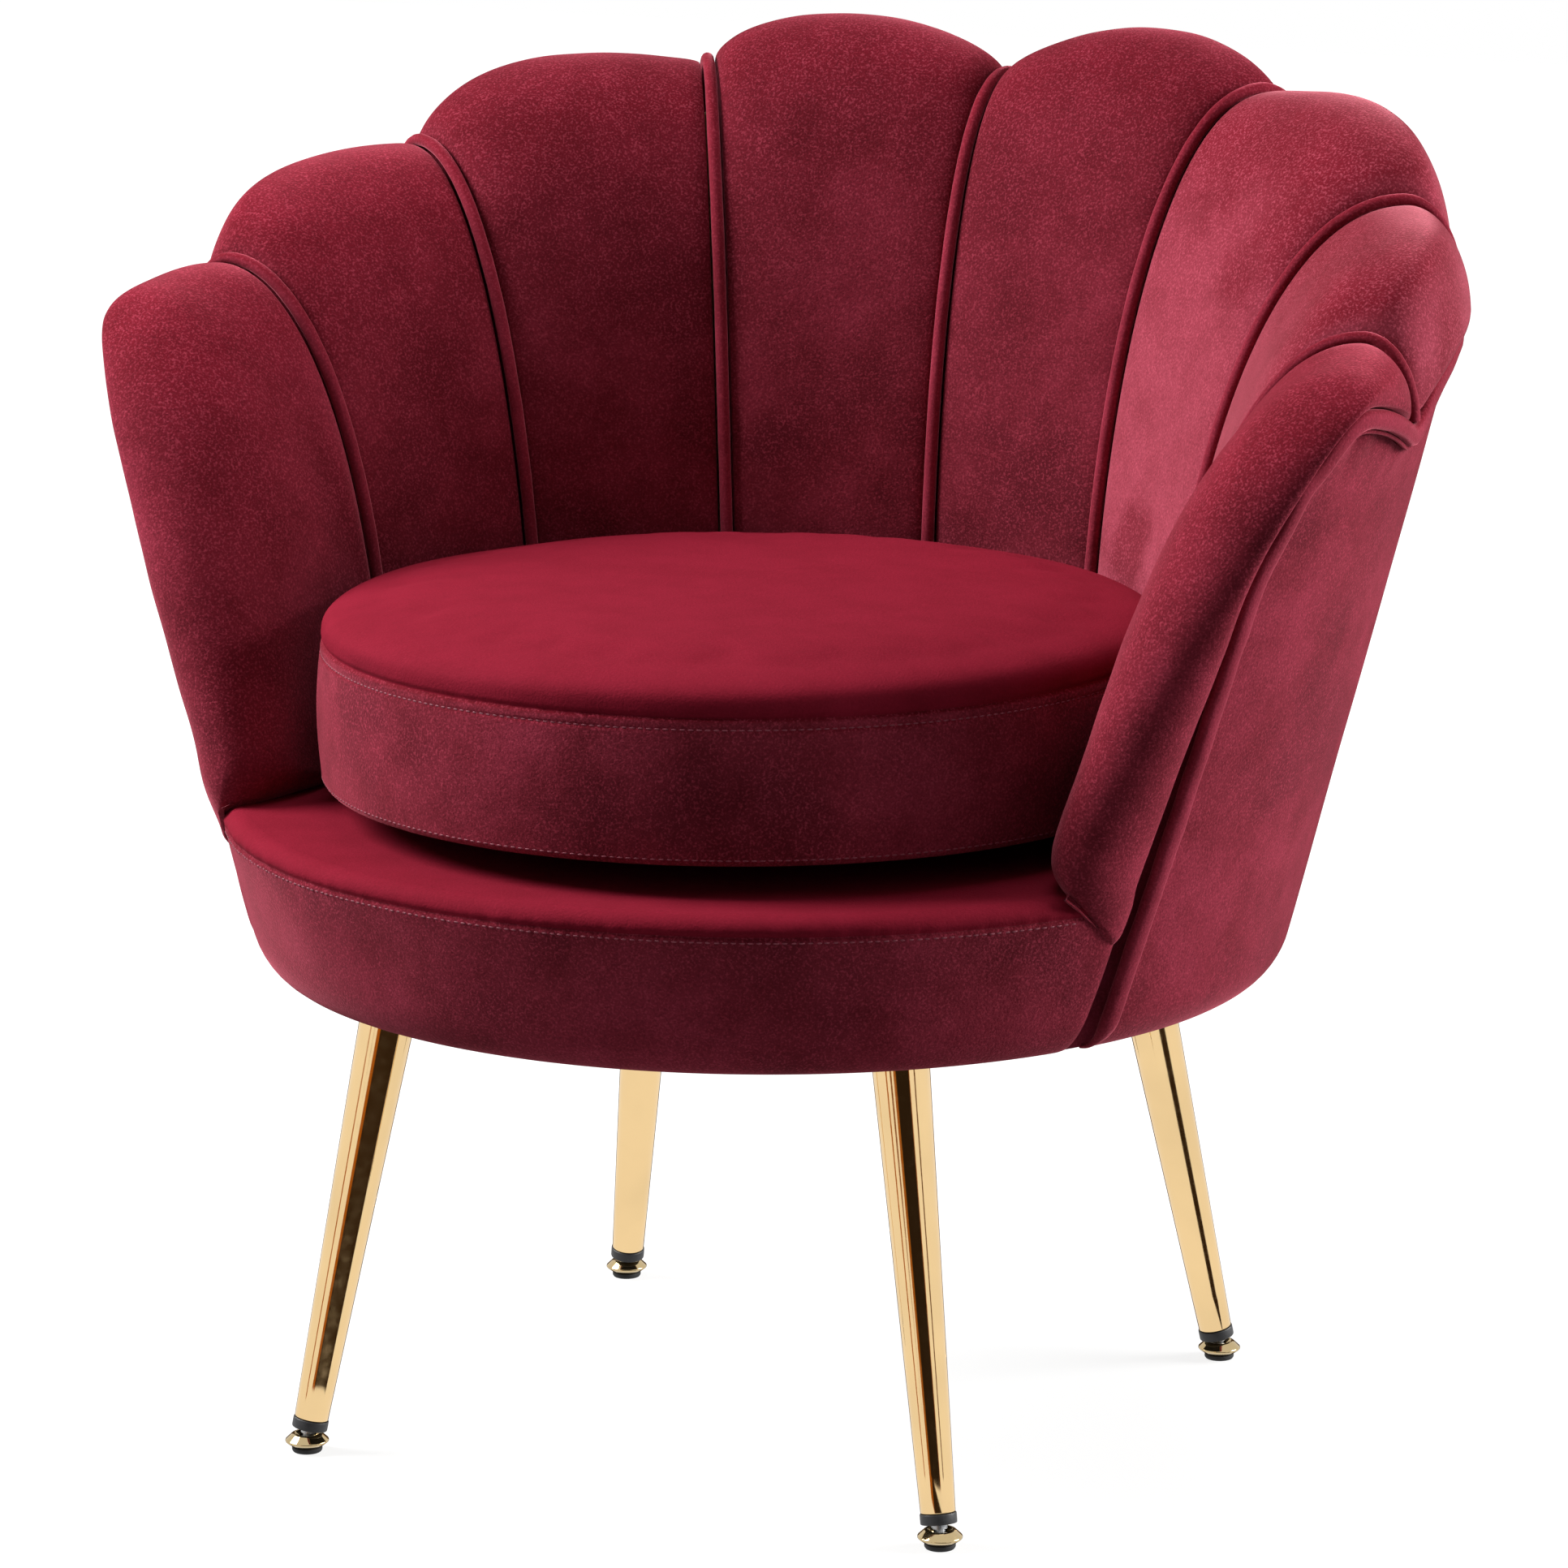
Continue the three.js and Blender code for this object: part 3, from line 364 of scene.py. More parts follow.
def arm_row(shares):
    foot_share, reach_share, height_share, inset_share, *seam_shares = shares
    angle = lerp(ARM_ANGLE, ARM_END_ANGLE, foot_share)
    radius = WALL_RADIUS - WALL_BULGE
    z = lerp(PETAL_FOOT, ARM_HEIGHT, height_share)
    inset = inset_share * RIDGE_INSET
    seam_z = lerp(PETAL_FOOT, ARM_HEIGHT, seam_shares[-1])
    overhang = ARM_OVERHANG * seam_shares[-1]
    # The nose's seam has no reach of its own: it follows the cover's front edge
    on_arm = len(seam_shares) > 1
    reach = seam_shares[0] * ARM_REACH if on_arm else cover_reach(seam_z) + CHANNEL_WIDTH
    return {
        "foot": Vector((radius * sin(angle), BOWL_Y + radius * cos(angle), PETAL_FOOT)),
        "ridge": shell_point(shell_turn_at_reach(reach_share * ARM_REACH, z, inset), z, inset),
        "seam": shell_point(shell_turn_at_reach(reach, seam_z, -overhang), seam_z, -overhang),
    }


ARM_ROWS = [
    back_station(len(PIPINGS) - 1, 0, PIPING_RADIUS + BEND_GAP),
    *(arm_row(shares) for shares in (*ARM_SHARES, *NOSE_SHARES)),
]


def wrap_at(share):
    start = share / WRAP_START
    return start if start < 1 else (1 - share) / (1 - WRAP_START)


def arm_station(share):
    parts = ("foot", "ridge", "seam")
    foot, ridge, seam = (curve([row[part] for row in ARM_ROWS], share) for part in parts)
    return {
        "angle": atan2(foot.x, foot.y - BOWL_Y),
        "wrap": lerp(pi / 2, ROLL_WRAP, wrap_at(share)),
        "fullness": 1,
        "foot": foot,
        "ridge": ridge,
        "seam": seam,
    }


def parted(vector, direction):
    """The part of a vector along a unit direction, and the rest of it."""
    along = direction * vector.dot(direction)
    return along, vector - along


def face_points(station, wall_steps, roll_steps):
    """Up the inner wall to the ridge, then over the roll to the outer seam."""
    out = unit_out(station["angle"])
    foot, ridge, seam = station["foot"], station["ridge"], station["seam"]
    fullness, wrap = station["fullness"], station["wrap"]
    wall_out, wall_up = parted(ridge - foot, out)
    roll_out, roll_down = parted(seam - ridge, out)
    points = []
    for turn in quarter(wall_steps):
        up, across = sin(turn) ** fullness, 1 - abs(cos(turn)) ** fullness
        points.append(foot + wall_up * up + wall_out * across)
    for i in range(1, roll_steps + 1):
        turn = i / roll_steps * wrap
        across, down = sin(turn) / sin(wrap), (1 - cos(turn)) / (1 - cos(wrap))
        points.append(ridge + roll_out * across + roll_down * down)
    return points


def board_lap(station):
    _, rest = parted(station["ridge"] - station["seam"], unit_out(station["angle"]))
    return min(BOARD_LAP, BOARD_LAP_SHARE * rest.length), rest.normalized()


def hidden_points(station, wall_steps, roll_steps):
    """Up the board's inner face, over its edge and down to the seam."""
    lap, direction = board_lap(station)
    seam, foot = station["seam"], station["foot"]
    edge = seam + direction * (lap + BOARD_CLEAR)
    edge_turn = shell_turn_of(edge, 0)
    seam_turn = shell_turn_of(seam, -SEAM_OVERHANG)
    inner_foot = shell_on_ray(atan2(foot.x, foot.y - BOWL_Y), PETAL_FOOT, INSIDE_INSET)
    foot_turn = shell_turn_of(inner_foot, INSIDE_INSET)
    points = []
    for i in range(wall_steps + 1):
        share = i / wall_steps
        z = lerp(PETAL_FOOT, edge.z, share)
        points.append(shell_point(lerp(foot_turn, edge_turn, share), z, INSIDE_INSET))
    for i in range(1, roll_steps + 1):
        over = min(2 * i / roll_steps, 1)
        down = max(2 * i / roll_steps - 1, 0)
        inset = lerp(INSIDE_INSET, COVER_THICKNESS, over)
        turn = lerp(edge_turn, seam_turn, down)
        points.append(shell_point(turn, lerp(edge.z, seam.z, down), inset))
    return points


def mirrored(points):
    return [Vector((-p.x, p.y, p.z)) for p in points]


def softened(before, point, after):
    """A point drawn half way to the middle of its neighbours."""
    return before * 0.25 + point * 0.5 + after * 0.25


def finish_mesh(name, bm):
    """An object from a bmesh in millimetres, its faces pointing outwards and smooth."""
    bmesh.ops.recalc_face_normals(bm, faces=bm.faces)
    for vertex in bm.verts:
        vertex.co *= MM
    for face in bm.faces:
        face.smooth = True
    mesh = bpy.data.meshes.new(name)
    bm.to_mesh(mesh)
    bm.free()
    mesh.set_sharp_from_angle(angle=SHARP_ANGLE)
    made = bpy.data.objects.new(name, mesh)
    bpy.context.scene.collection.objects.link(made)
    return made


def slab(name, front, back):
    """A closed solid between two grids of points of one size."""
    bm = bmesh.new()
    sides = [[[bm.verts.new(p) for p in row] for row in grid] for grid in (front, back)]
    near, far = sides
    rows, columns = len(near), len(near[0])
    for i in range(rows - 1):
        for j in range(columns - 1):
            bm.faces.new((near[i][j], near[i + 1][j], near[i + 1][j + 1], near[i][j + 1]))
            bm.faces.new((far[i][j], far[i][j + 1], far[i + 1][j + 1], far[i + 1][j]))
        for j in (0, columns - 1):
            bm.faces.new((near[i][j], far[i][j], far[i + 1][j], near[i + 1][j]))
    for j in range(columns - 1):
        for i in (0, rows - 1):
            bm.faces.new((near[i][j], near[i][j + 1], far[i][j + 1], far[i][j]))
    return finish_mesh(name, bm)


def joined(bm, near, far):
    """Faces between two rings of one size."""
    for j in range(len(near)):
        k = (j + 1) % len(near)
        bm.faces.new((near[j], near[k], far[k], far[j]))


def tube(name, path, ring_of):
    """A tube along a path. ring_of(i, point, along) gives the ring round the path's point i."""
    bm = bmesh.new()
    rings = []
    for i, point in enumerate(path):
        before, after = path[max(i - 1, 0)], path[min(i + 1, len(path) - 1)]
        rings.append([bm.verts.new(p) for p in ring_of(i, point, (after - before).normalized())])
    for near, far in zip(rings, rings[1:]):
        joined(bm, near, far)
    for ring in (rings[0], rings[-1]):
        bm.faces.new(ring)
    return finish_mesh(name, bm)


def turned(name, profile, steps, place):
    """A turned piece from (radius, height) points, whose Z axis the matrix puts in its place."""
    bm = bmesh.new()
    rings = []
    for radius, height in profile:
        if radius < ON_AXIS:
            rings.append([bm.verts.new((0, 0, height))])
            continue
        turns = [i / steps * 2 * pi for i in range(steps)]
        rings.append([bm.verts.new((radius * cos(t), radius * sin(t), height)) for t in turns])
    for near, far in zip(rings, rings[1:]):
        for j in range(steps):
            k = (j + 1) % steps
            corners = [near[j % len(near)], near[k % len(near)]]
            corners += [far[k % len(far)], far[j % len(far)]]
            bm.faces.new(list(dict.fromkeys(corners)))
    if profile[0] == profile[-1]:
        bmesh.ops.remove_doubles(bm, verts=bm.verts, dist=WELD_DISTANCE)
    bm.transform(place)
    return finish_mesh(name, bm)


def rounded(profile, radius, steps=3):
    """A turned profile with its inner corners rounded, as a pressed or moulded edge is."""
    points = [profile[0]]
    for before, corner, after in zip(profile, profile[1:], profile[2:]):
        into = Vector(corner) - Vector(before)
        away = Vector(after) - Vector(corner)
        cut = min(radius, into.length / LARGEST_CUT, away.length / LARGEST_CUT)
        start = Vector(corner) - into.normalized() * cut
        end = Vector(corner) + away.normalized() * cut
        for i in range(steps + 1):
            t = i / steps
            bend = start * (1 - t) ** 2 + Vector(corner) * 2 * t * (1 - t) + end * t**2
            points.append(tuple(bend))
    points.append(profile[-1])
    return points


def grid_normals(grid):
    """Unit normals of a grid of points, from the points beside each."""
    rows, columns = len(grid), len(grid[0])
    normals = []
    for i in range(rows):
        row = []
        for j in range(columns):
            across = grid[min(i + 1, rows - 1)][j] - grid[max(i - 1, 0)][j]
            along = grid[i][min(j + 1, columns - 1)] - grid[i][max(j - 1, 0)]
            row.append(across.cross(along).normalized())
        normals.append(row)
    return normals


def rumple(point, size, seed):
    """Smooth seeded noise, from -1 to 1, that changes over about size millimetres."""
    return noise.noise(Vector(point) / size + Vector([seed * step for step in SEED_STEPS]))


# Materials. A pattern is its patches' size in millimetres, its detail and its roughness, and
# "at" tells where on it, from 0 to 1, its tones lie. A bump is its strength and its depth in
# metres.

# Velvet: patches that a hand stroked and patches where it rubbed, then the pile, whose tufts
# are about 0.4 mm across and drawn larger so that they show, with painted shade between them,
# and painted glints on its tips
STROKES, STROKES_AT = (95, 4, 0.6), (0.38, 0.5, 0.64)
RUBBED, RUBBED_AT = (34, 4, 0.65), (0.36, 0.6)
PILE, PAINTED_GAP_SHADE_AT, PILE_BUMP = (1.5, 2, 0.7), (0.32, 0.52), (0.5, 0.0007)
PAINTED_GLINT, PAINTED_GLINT_AT = (1.4, 1, 0.6), (0.49, 0.72)
# How much of the deep tone the painted shade between the tufts keeps, and by what factor and
# by what more a tip's painted glint is brighter than the lit tone
PAINTED_GAP_SHADE = 0.5
PAINTED_GLINT_TONE = (1.7, 0.012)
# How much of the painted shade between the tufts, the painted glints and the rubbing is seen:
# by the share given with each velvet, and always
PAINTED_GAP_SHADE_SEEN, PAINTED_GLINT_SEEN, RUBBED_SEEN = (0.4, 0.1), (0.75, 0), (0.4, 0.15)
RUBBED_TONE = "#c4a6a6"
# Painted shade: how far a face turns up, and how high it is, until it has the darker, redder
# top colour
PAINTED_TOP_SHADE_FACING = (0.1, 0.65)
PAINTED_TOP_SHADE_HEIGHT = (0.58, 0.76)
PAINTED_TOP_SHADE_MOST = 0.8
# Plating: clouds in its tone, haze and the lines that polishing draws along the tube
TONE, CLOUDED = (45, 2), 0.93
HAZE, HAZE_AT, HAZE_ROUGHNESS = (6, 3), (0.3, 0.8), (0.05, 0.11)
LINES, LINES_BUMP, LINES_STRETCH = (0.9, 1), (0.02, 0.0002), (1, 1, 0.05)
# The other finishes' grain, whose size each gives itself, and their weave
GRAIN, GRAIN_DEPTH = (4, 0.6), 0.0004
TONES_AT = (0.35, 0.65)
WEAVE_AT, WEAVE_BUMP, WEAVE_WAVER = (0.2, 0.7), (0.4, 0.0004), 0.4
WAVES_PER_UNIT = 20  # of Blender's wave texture at scale 1
BLACK = (0, 0, 0, 1)
WHITE = (1, 1, 1, 1)


def toned(color, factor, more=0):
    """A colour made brighter or darker."""
    return [value * factor + more for value in color[:3]] + [1]


def grey(value):
    return [value, value, value, 1]


def linear(code):
    """A linear RGBA colour from an sRGB hex code."""
    values = [int(code[i : i + 2], 16) / 255 for i in (1, 3, 5)]
    return [v / 12.92 if v <= 0.04045 else ((v + 0.055) / 1.055) ** 2.4 for v in values] + [1]


def add_node(tree, kind, inputs=(), **settings):
    """Adds a node with its settings. An input is a value or the socket that feeds it."""
    made = tree.nodes.new(kind)
    for name, value in settings.items():
        setattr(made, name, value)
    for socket, value in dict(inputs).items():
        if isinstance(value, bpy.types.NodeSocket):
            tree.links.new(value, made.inputs[socket])
        else:
            made.inputs[socket].default_value = value
    return made


def new_material(name, shader_inputs):
    material = bpy.data.materials.new(name)
    material.use_nodes = True
    tree = material.node_tree
    shader = tree.nodes["Principled BSDF"]
    for socket, value in shader_inputs.items():
        shader.inputs[socket].default_value = value
    return material, tree, shader


def place_of(tree):
    """The place on the object, in metres."""
    return add_node(tree, "ShaderNodeTexCoord").outputs["Object"]


def stretched(tree, where, scale):
    inputs = {"Vector": where, "Scale": scale}
    return add_node(tree, "ShaderNodeMapping", inputs).outputs["Vector"]


def noise_of(tree, where, size_mm, detail=2.0, roughness=0.5):
    """Noise whose patches are about size_mm across."""
    inputs = {"Vector": where, "Scale": 1 / (size_mm * MM)}
    inputs.update({"Detail": detail, "Roughness": roughness})
    return add_node(tree, "ShaderNodeTexNoise", inputs).outputs["Fac"]


def math_of(tree, kind, a, b=0):
    return add_node(tree, "ShaderNodeMath", {0: a, 1: b}, operation=kind).outputs[0]


def vector_math(tree, kind, *vectors):
    made = add_node(tree, "ShaderNodeVectorMath", enumerate(vectors), operation=kind)
    return made.outputs["Value"]


def range_of(tree, value, given, wanted, **settings):
    """A value whose given range is mapped on the wanted one."""
    inputs = {"Value": value, "From Min": given[0], "From Max": given[1]}
    inputs.update({"To Min": wanted[0], "To Max": wanted[1]})
    return add_node(tree, "ShaderNodeMapRange", inputs, **settings).outputs["Result"]


def add_bump(tree, shader, height, strength, distance):
    inputs = {"Height": height, "Strength": strength, "Distance": distance}
    bump = add_node(tree, "ShaderNodeBump", inputs)
    tree.links.new(bump.outputs["Normal"], shader.inputs["Normal"])


def ramp_of(tree, fac, places, *colors):
    ramp = add_node(tree, "ShaderNodeValToRGB", {"Fac": fac})
    elements = ramp.color_ramp.elements
    while len(elements) < len(places):
        elements.new(1)
    for element, place, color in zip(elements, places, colors):
        element.position = place
        element.color = color
    return ramp.outputs["Color"]


def mix_of(tree, fac, a, b, blend="MIX"):
    mix = add_node(tree, "ShaderNodeMix", data_type="RGBA", blend_type=blend)
    for index, value in ((0, fac), (6, a), (7, b)):
        if isinstance(value, bpy.types.NodeSocket):
            tree.links.new(value, mix.inputs[index])
        else:
            mix.inputs[index].default_value = value
    return mix.outputs[2]


def velvet(name, deep, body, lit, laid, sheen, sheen_color, shade_glints_and_wear):
    """Woven polyester velvet. Its cut pile, about 1.5 mm long, is dark seen straight on and
    shines along its outline, and strokes of a hand leave patches where it lies another way.
    Painted shade darkens the gaps between its tufts and, in a darker, redder colour, faces
    turned upwards and high parts; painted glints brighten some tips."""
    shader_inputs = {
        "Roughness": 0.85,
        "Specular IOR Level": 0.05,
        "Sheen Weight": sheen,
        "Sheen Roughness": 0.36,
        "Sheen Tint": sheen_color,
    }
    material, tree, shader = new_material(name, shader_inputs)
    where = place_of(tree)
    strokes = noise_of(tree, where, *STROKES)
    rubbed = noise_of(tree, where, *RUBBED)
    pile = noise_of(tree, where, *PILE)
    glints = noise_of(tree, where, *PAINTED_GLINT)
    base = ramp_of(tree, strokes, STROKES_AT, deep, body, lit)
    # Painted shade: a face turned upwards gets the darker, redder top colour, standing in for
    # less sheen under the light from above
    facing = add_node(tree, "ShaderNodeNewGeometry").outputs["Normal"]
    upward = add_node(tree, "ShaderNodeSeparateXYZ", {"Vector": facing}).outputs["Z"]
    painted_upward_shade = range_of(tree, upward, PAINTED_TOP_SHADE_FACING, (0, 1))
    # Painted shade: high parts, the pads' upper ends, get the same top colour
    height = add_node(tree, "ShaderNodeSeparateXYZ", {"Vector": where}).outputs["Z"]
    painted_high_shade = range_of(tree, height, PAINTED_TOP_SHADE_HEIGHT, (0, PAINTED_TOP_SHADE_MOST))
    base = mix_of(tree, math_of(tree, "MAXIMUM", painted_upward_shade, painted_high_shade), base, laid)
    # Painted shade between the tufts, and painted glints on some tips
    gaps, tips, worn = (
        shade_glints_and_wear * share + always for share, always in (PAINTED_GAP_SHADE_SEEN, PAINTED_GLINT_SEEN, RUBBED_SEEN)
    )
    depth = ramp_of(tree, pile, PAINTED_GAP_SHADE_AT, grey(gaps), BLACK)
    base = mix_of(tree, depth, base, toned(deep, PAINTED_GAP_SHADE))
    painted_glints = ramp_of(tree, glints, PAINTED_GLINT_AT, BLACK, grey(tips))
    base = mix_of(tree, painted_glints, base, toned(lit, *PAINTED_GLINT_TONE))
    patches = ramp_of(tree, rubbed, RUBBED_AT, linear(RUBBED_TONE), WHITE)
    base = mix_of(tree, worn, base, patches, "MULTIPLY")
    tree.links.new(base, shader.inputs["Base Color"])
    add_bump(tree, shader, pile, *PILE_BUMP)
    return material


def polished_gold(name, color):
    """Steel tube plated a pale gold and polished: a mirror with faint drawn lines and dust."""
    material, tree, shader = new_material(name, {"Metallic": 1.0, "Roughness": 0.06})
    where = place_of(tree)
    tone = noise_of(tree, where, *TONE)
    shade = ramp_of(tree, tone, TONES_AT, toned(color, CLOUDED), color)
    tree.links.new(shade, shader.inputs["Base Color"])
    rough = range_of(tree, noise_of(tree, where, *HAZE), HAZE_AT, HAZE_ROUGHNESS)
    tree.links.new(rough, shader.inputs["Roughness"])
    drawn = stretched(tree, where, LINES_STRETCH)
    add_bump(tree, shader, noise_of(tree, drawn, *LINES), *LINES_BUMP)
    return material


def plain_finish(name, dark, light, size_mm, roughness, bump, stretch=(1, 1, 1), metallic=0.0):
    """A finish whose colour wanders between two tones over patches of one size."""
    material, tree, shader = new_material(name, {"Roughness": roughness, "Metallic": metallic})
    grain = noise_of(tree, stretched(tree, place_of(tree), stretch), size_mm, *GRAIN)
    tones = ramp_of(tree, grain, TONES_AT, dark, light)
    tree.links.new(tones, shader.inputs["Base Color"])
    add_bump(tree, shader, grain, bump, GRAIN_DEPTH)
    return material


def woven(name, dark, light, thread_mm, roughness):
    """Plain woven tape or cloth: threads cross square, each its own light stripe."""
    material, tree, shader = new_material(name, {"Roughness": roughness})
    scale = 1 / (thread_mm * MM) / WAVES_PER_UNIT
    inputs = {"Vector": place_of(tree), "Scale": scale, "Distortion": WEAVE_WAVER}
    waves = [
        add_node(tree, "ShaderNodeTexWave", inputs, bands_direction=direction).outputs["Fac"]
        for direction in ("X", "Y")
    ]
    both = math_of(tree, "MULTIPLY", *waves)
    tree.links.new(ramp_of(tree, both, WEAVE_AT, dark, light), shader.inputs["Base Color"])
    add_bump(tree, shader, both, *WEAVE_BUMP)
    return material


# The velvet's kinds: the colours of its pile stroked away, plain and stroked towards the light,
# and its colour with painted shade for faces turned upwards and high parts, the strength of its
# sheen and how much painted shade between its tufts, painted glints and rubbing it shows
VELVETS = {
    "velvet_wine": (("pile_deep", "pile", "pile_lit", "pile_laid"), 0.5, 0.8),
    # A lit copy of the velvet for pads 6 and 7: painted light in lighter tones, with more sheen
    "velvet_wine_painted_lit": (("pile", "brushed", "brushed", "pile_laid"), 0.62, 0.6),
    # A shaded copy of the velvet for pads 3 to 5: painted shade in darker tones, with less sheen
    "velvet_wine_painted_shade": (("pile_deep", "pile", "pile_lit", "pile_laid"), 0.34, 0.8),
    # A copy of the velvet for the level cloths, painted for the light from above: redder tones,
    # and no sheen
    "velvet_wine_flat": (("flat_deep", "flat", "flat_lit", "flat"), 0.0, 0.15),
    # A lighter copy of the velvet for the pipings, the welt and the channel strips: painted light,
    # with more sheen
    "velvet_wine_cord": (("pile", "pile_lit", "pile_lit", "pile_laid"), 0.8, 0.5),
}
PAINTED_SHADE_SHARE = 0.8  # the share of its tones that the shaded velvet keeps

# Two tones, the grain's size in millimetres, roughness, bump, how it is drawn out and metallic
PLAIN_FINISHES = {
    # Birch veneer, rotary cut: a fine grain drawn out along the sheet
    "birch_plywood": ("#b8935f", "#d9bd8d", 9, 0.6, 0.15, (0.12, 1, 1)),
    # Open cell foam: pores under a millimetre, drawn at 2 mm
    "upholstery_foam": ("#d8c98f", "#efe6bf", 2, 0.95, 0.6),
    # Spunbond cloth, fibres bonded in a random web
    "dust_lining": ("#111112", "#232325", 1.4, 0.95, 0.4),
    # Rolled screw stock with bright zinc on it
    "zinc_plated_steel": ("#85878a", "#b5b7b9", 4, 0.32, 0.05, (1, 1, 1), 1.0),
    # Injection moulded, faintly grained from its mould
    "moulded_nylon": ("#161618", "#222225", 1.5, 0.48, 0.12),
    # Moulded rubber, dull from its mould
    "moulded_rubber": ("#101011", "#1b1b1c", 2, 0.75, 0.2),
    # Twisted polyester thread of the velvet's colour, a little brighter
    "sewing_thread": ("#64172a", "#842a3e", 0.8, 0.6, 0.3),
}


def finish_of(name):
    """The finish called name, made the first time it is asked for."""
    if name in bpy.data.materials:
        return bpy.data.materials[name]
    colors = bpy.context.scene.chair_colors
    if name in VELVETS:
        tones, sheen, shade_glints_and_wear = VELVETS[name]
        tones = [[*getattr(colors, tone), 1] for tone in tones]
        # The painted-shade copy: every tone darkened
        if name == "velvet_wine_painted_shade":
            tones = [toned(tone, PAINTED_SHADE_SHARE) for tone in tones]
        sheen_color = colors.sheen_painted_lit if name == "velvet_wine_painted_lit" else colors.sheen
        return velvet(name, *tones, sheen, [*sheen_color, 1], shade_glints_and_wear)
    if name in PLAIN_FINISHES:
        dark, light, *rest = PLAIN_FINISHES[name]
        return plain_finish(name, linear(dark), linear(light), *rest)
    if name == "webbing_tape":
        # Elastic webbing, threads about 1.2 mm apart
        return woven(name, linear("#25231f"), linear("#55504a"), 1.2, 0.85)
    plating = {"plated_gold": colors.gold, "zinc_bronze": colors.bronze}
    return polished_gold(name, [*plating[name], 1])


def dress(piece, finish, slot, body, *nodes):
    """Gives a piece its finish and its body, and hides the nodes it stands for. Its slot is not
    used.
    """
    piece.data.materials.clear()
    piece.data.materials.append(finish_of(finish))
    if nodes:
        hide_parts(*nodes)
    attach(piece, body)


def face_with(piece, finish, wanted):
    """Gives the faces whose middle passes a test another finish."""
    piece.data.materials.append(finish_of(finish))
    index = len(piece.data.materials) - 1
    for face in piece.data.polygons:
        if wanted(face.center / MM):
            face.material_index = index


def smooth_step(value):
    share = min(max(value, 0), 1)
    return share * share * (3 - 2 * share)


def apply_modifiers(piece):
    """Turns the piece as its modifiers show it into its plain mesh."""
    evaluated = piece.evaluated_get(bpy.context.evaluated_depsgraph_get())
    mesh = bpy.data.meshes.new_from_object(evaluated)
    mesh.name = piece.name
    old = piece.data
    piece.modifiers.clear()
    piece.data = mesh
    bpy.data.meshes.remove(old)


def subdivide(piece):
    modifier = piece.modifiers.new("smooth", "SUBSURF")
    modifier.levels = modifier.render_levels = 1
    apply_modifiers(piece)


# Velvet on a thin scrim, which gives a little and hardly creases
CLOTH = {
    "quality": 6,
    "mass": 0.3,
    "tension_stiffness": 18,
    "compression_stiffness": 18,
    "shear_stiffness": 8,
    "bending_stiffness": 1.5,
    "pin_stiffness": 1,
    "use_pressure": True,
}
CLOTH_FRAMES = 20


def swell(piece, pinned, cap, pressure):
    """Blows the cloth of a closed pad up a little, no point further than its cap in metres."""
    start = [vertex.co.copy() for vertex in piece.data.vertices]
    group = piece.vertex_groups.new(name="pinned")
    for index, weight in pinned.items():
        group.add([index], weight, "REPLACE")
    modifier = piece.modifiers.new("cloth", "CLOTH")
    settings = modifier.settings
    for name, value in CLOTH.items():
        setattr(settings, name, value)
    settings.vertex_group_mass = group.name
    settings.uniform_pressure_force = pressure
    settings.effector_weights.gravity = 0
    modifier.collision_settings.use_collision = False
    modifier.point_cache.frame_start = 1
    modifier.point_cache.frame_end = CLOTH_FRAMES
    scene = bpy.context.scene
    for step in range(1, CLOTH_FRAMES + 1):
        scene.frame_set(step)
    evaluated = piece.evaluated_get(bpy.context.evaluated_depsgraph_get())
    moved = [vertex.co.copy() for vertex in evaluated.data.vertices]
    piece.modifiers.clear()
    piece.vertex_groups.clear()
    scene.frame_set(1)
    outward = [vertex.normal.copy() for vertex in piece.data.vertices]
    for vertex, before, after, out in zip(piece.data.vertices, start, moved, outward):
        rise = max((after - before).dot(out), 0)
        vertex.co = before + out * cap * (1 - exp(-rise / cap))
    piece.data.update()


# Sizes and colours that a user would change


def length(name, description, default, low, high):
    return FloatProperty(
        name=name, description=description, default=default, min=low, max=high,
        subtype="DISTANCE", unit="LENGTH",
    )


def swell_length(default):
    return length("Swell", "The furthest that the filling pushes the velvet out", default, 0, 0.03)


def filling_pressure():
    return FloatProperty(
        name="Filling pressure", description="Pressure of the filling in the cloth simulation",
        default=4, min=0, max=20,
    )


class PetalPadSizes(bpy.types.PropertyGroup):
    valley_depth: length(
        "Valley depth", "How deep the velvet turns in beside a piping", 0.0011, 0, 0.02
    )
    valley_width: length("Valley width", "Over what width it turns in", 0.004, 0.001, 0.03)
    swell_cap: swell_length(0.006)
    pressure: filling_pressure()
    rumple: length("Rumple", "Height of the soft unevenness of the foam", 0.0012, 0, 0.01)


class TrimSizes(bpy.types.PropertyGroup):
    piping_radius: length(
        "Piping radius", "Radius of the piping between two petals", PIPING_RADIUS * MM, 0.001, 0.01
    )
    welt_height: length("Welt height", "Height of the folded welt", 0.0112, 0.002, 0.02)
    welt_depth: length("Welt depth", "Thickness of the folded welt", 0.0076, 0.002, 0.02)
    fold_radius: length(
        "Fold radius", "Radius of the cover's turned edge beside the welt", 0.0013, 0.0005, 0.005
    )
    seam_drop: length(
        "Deck seam drop", "From the deck down to the front panel's seam", 0.011, 0.004, 0.03
    )
    pucker_depth: length(
        "Pucker depth", "Depth of the puckers that the welt's stitches pull", 0.0026, 0, 0.01
    )
    stitch_length: length("Stitch length", "Length of one stitch", 0.0034, 0.001, 0.01)
    stitch_pitch: length(
        "Stitch pitch", "From the start of one stitch to the next", 0.0046, 0.001, 0.02
    )
    stitch_radius: length("Thread radius", "Radius of the thread", 0.00055, 0.0001, 0.002)


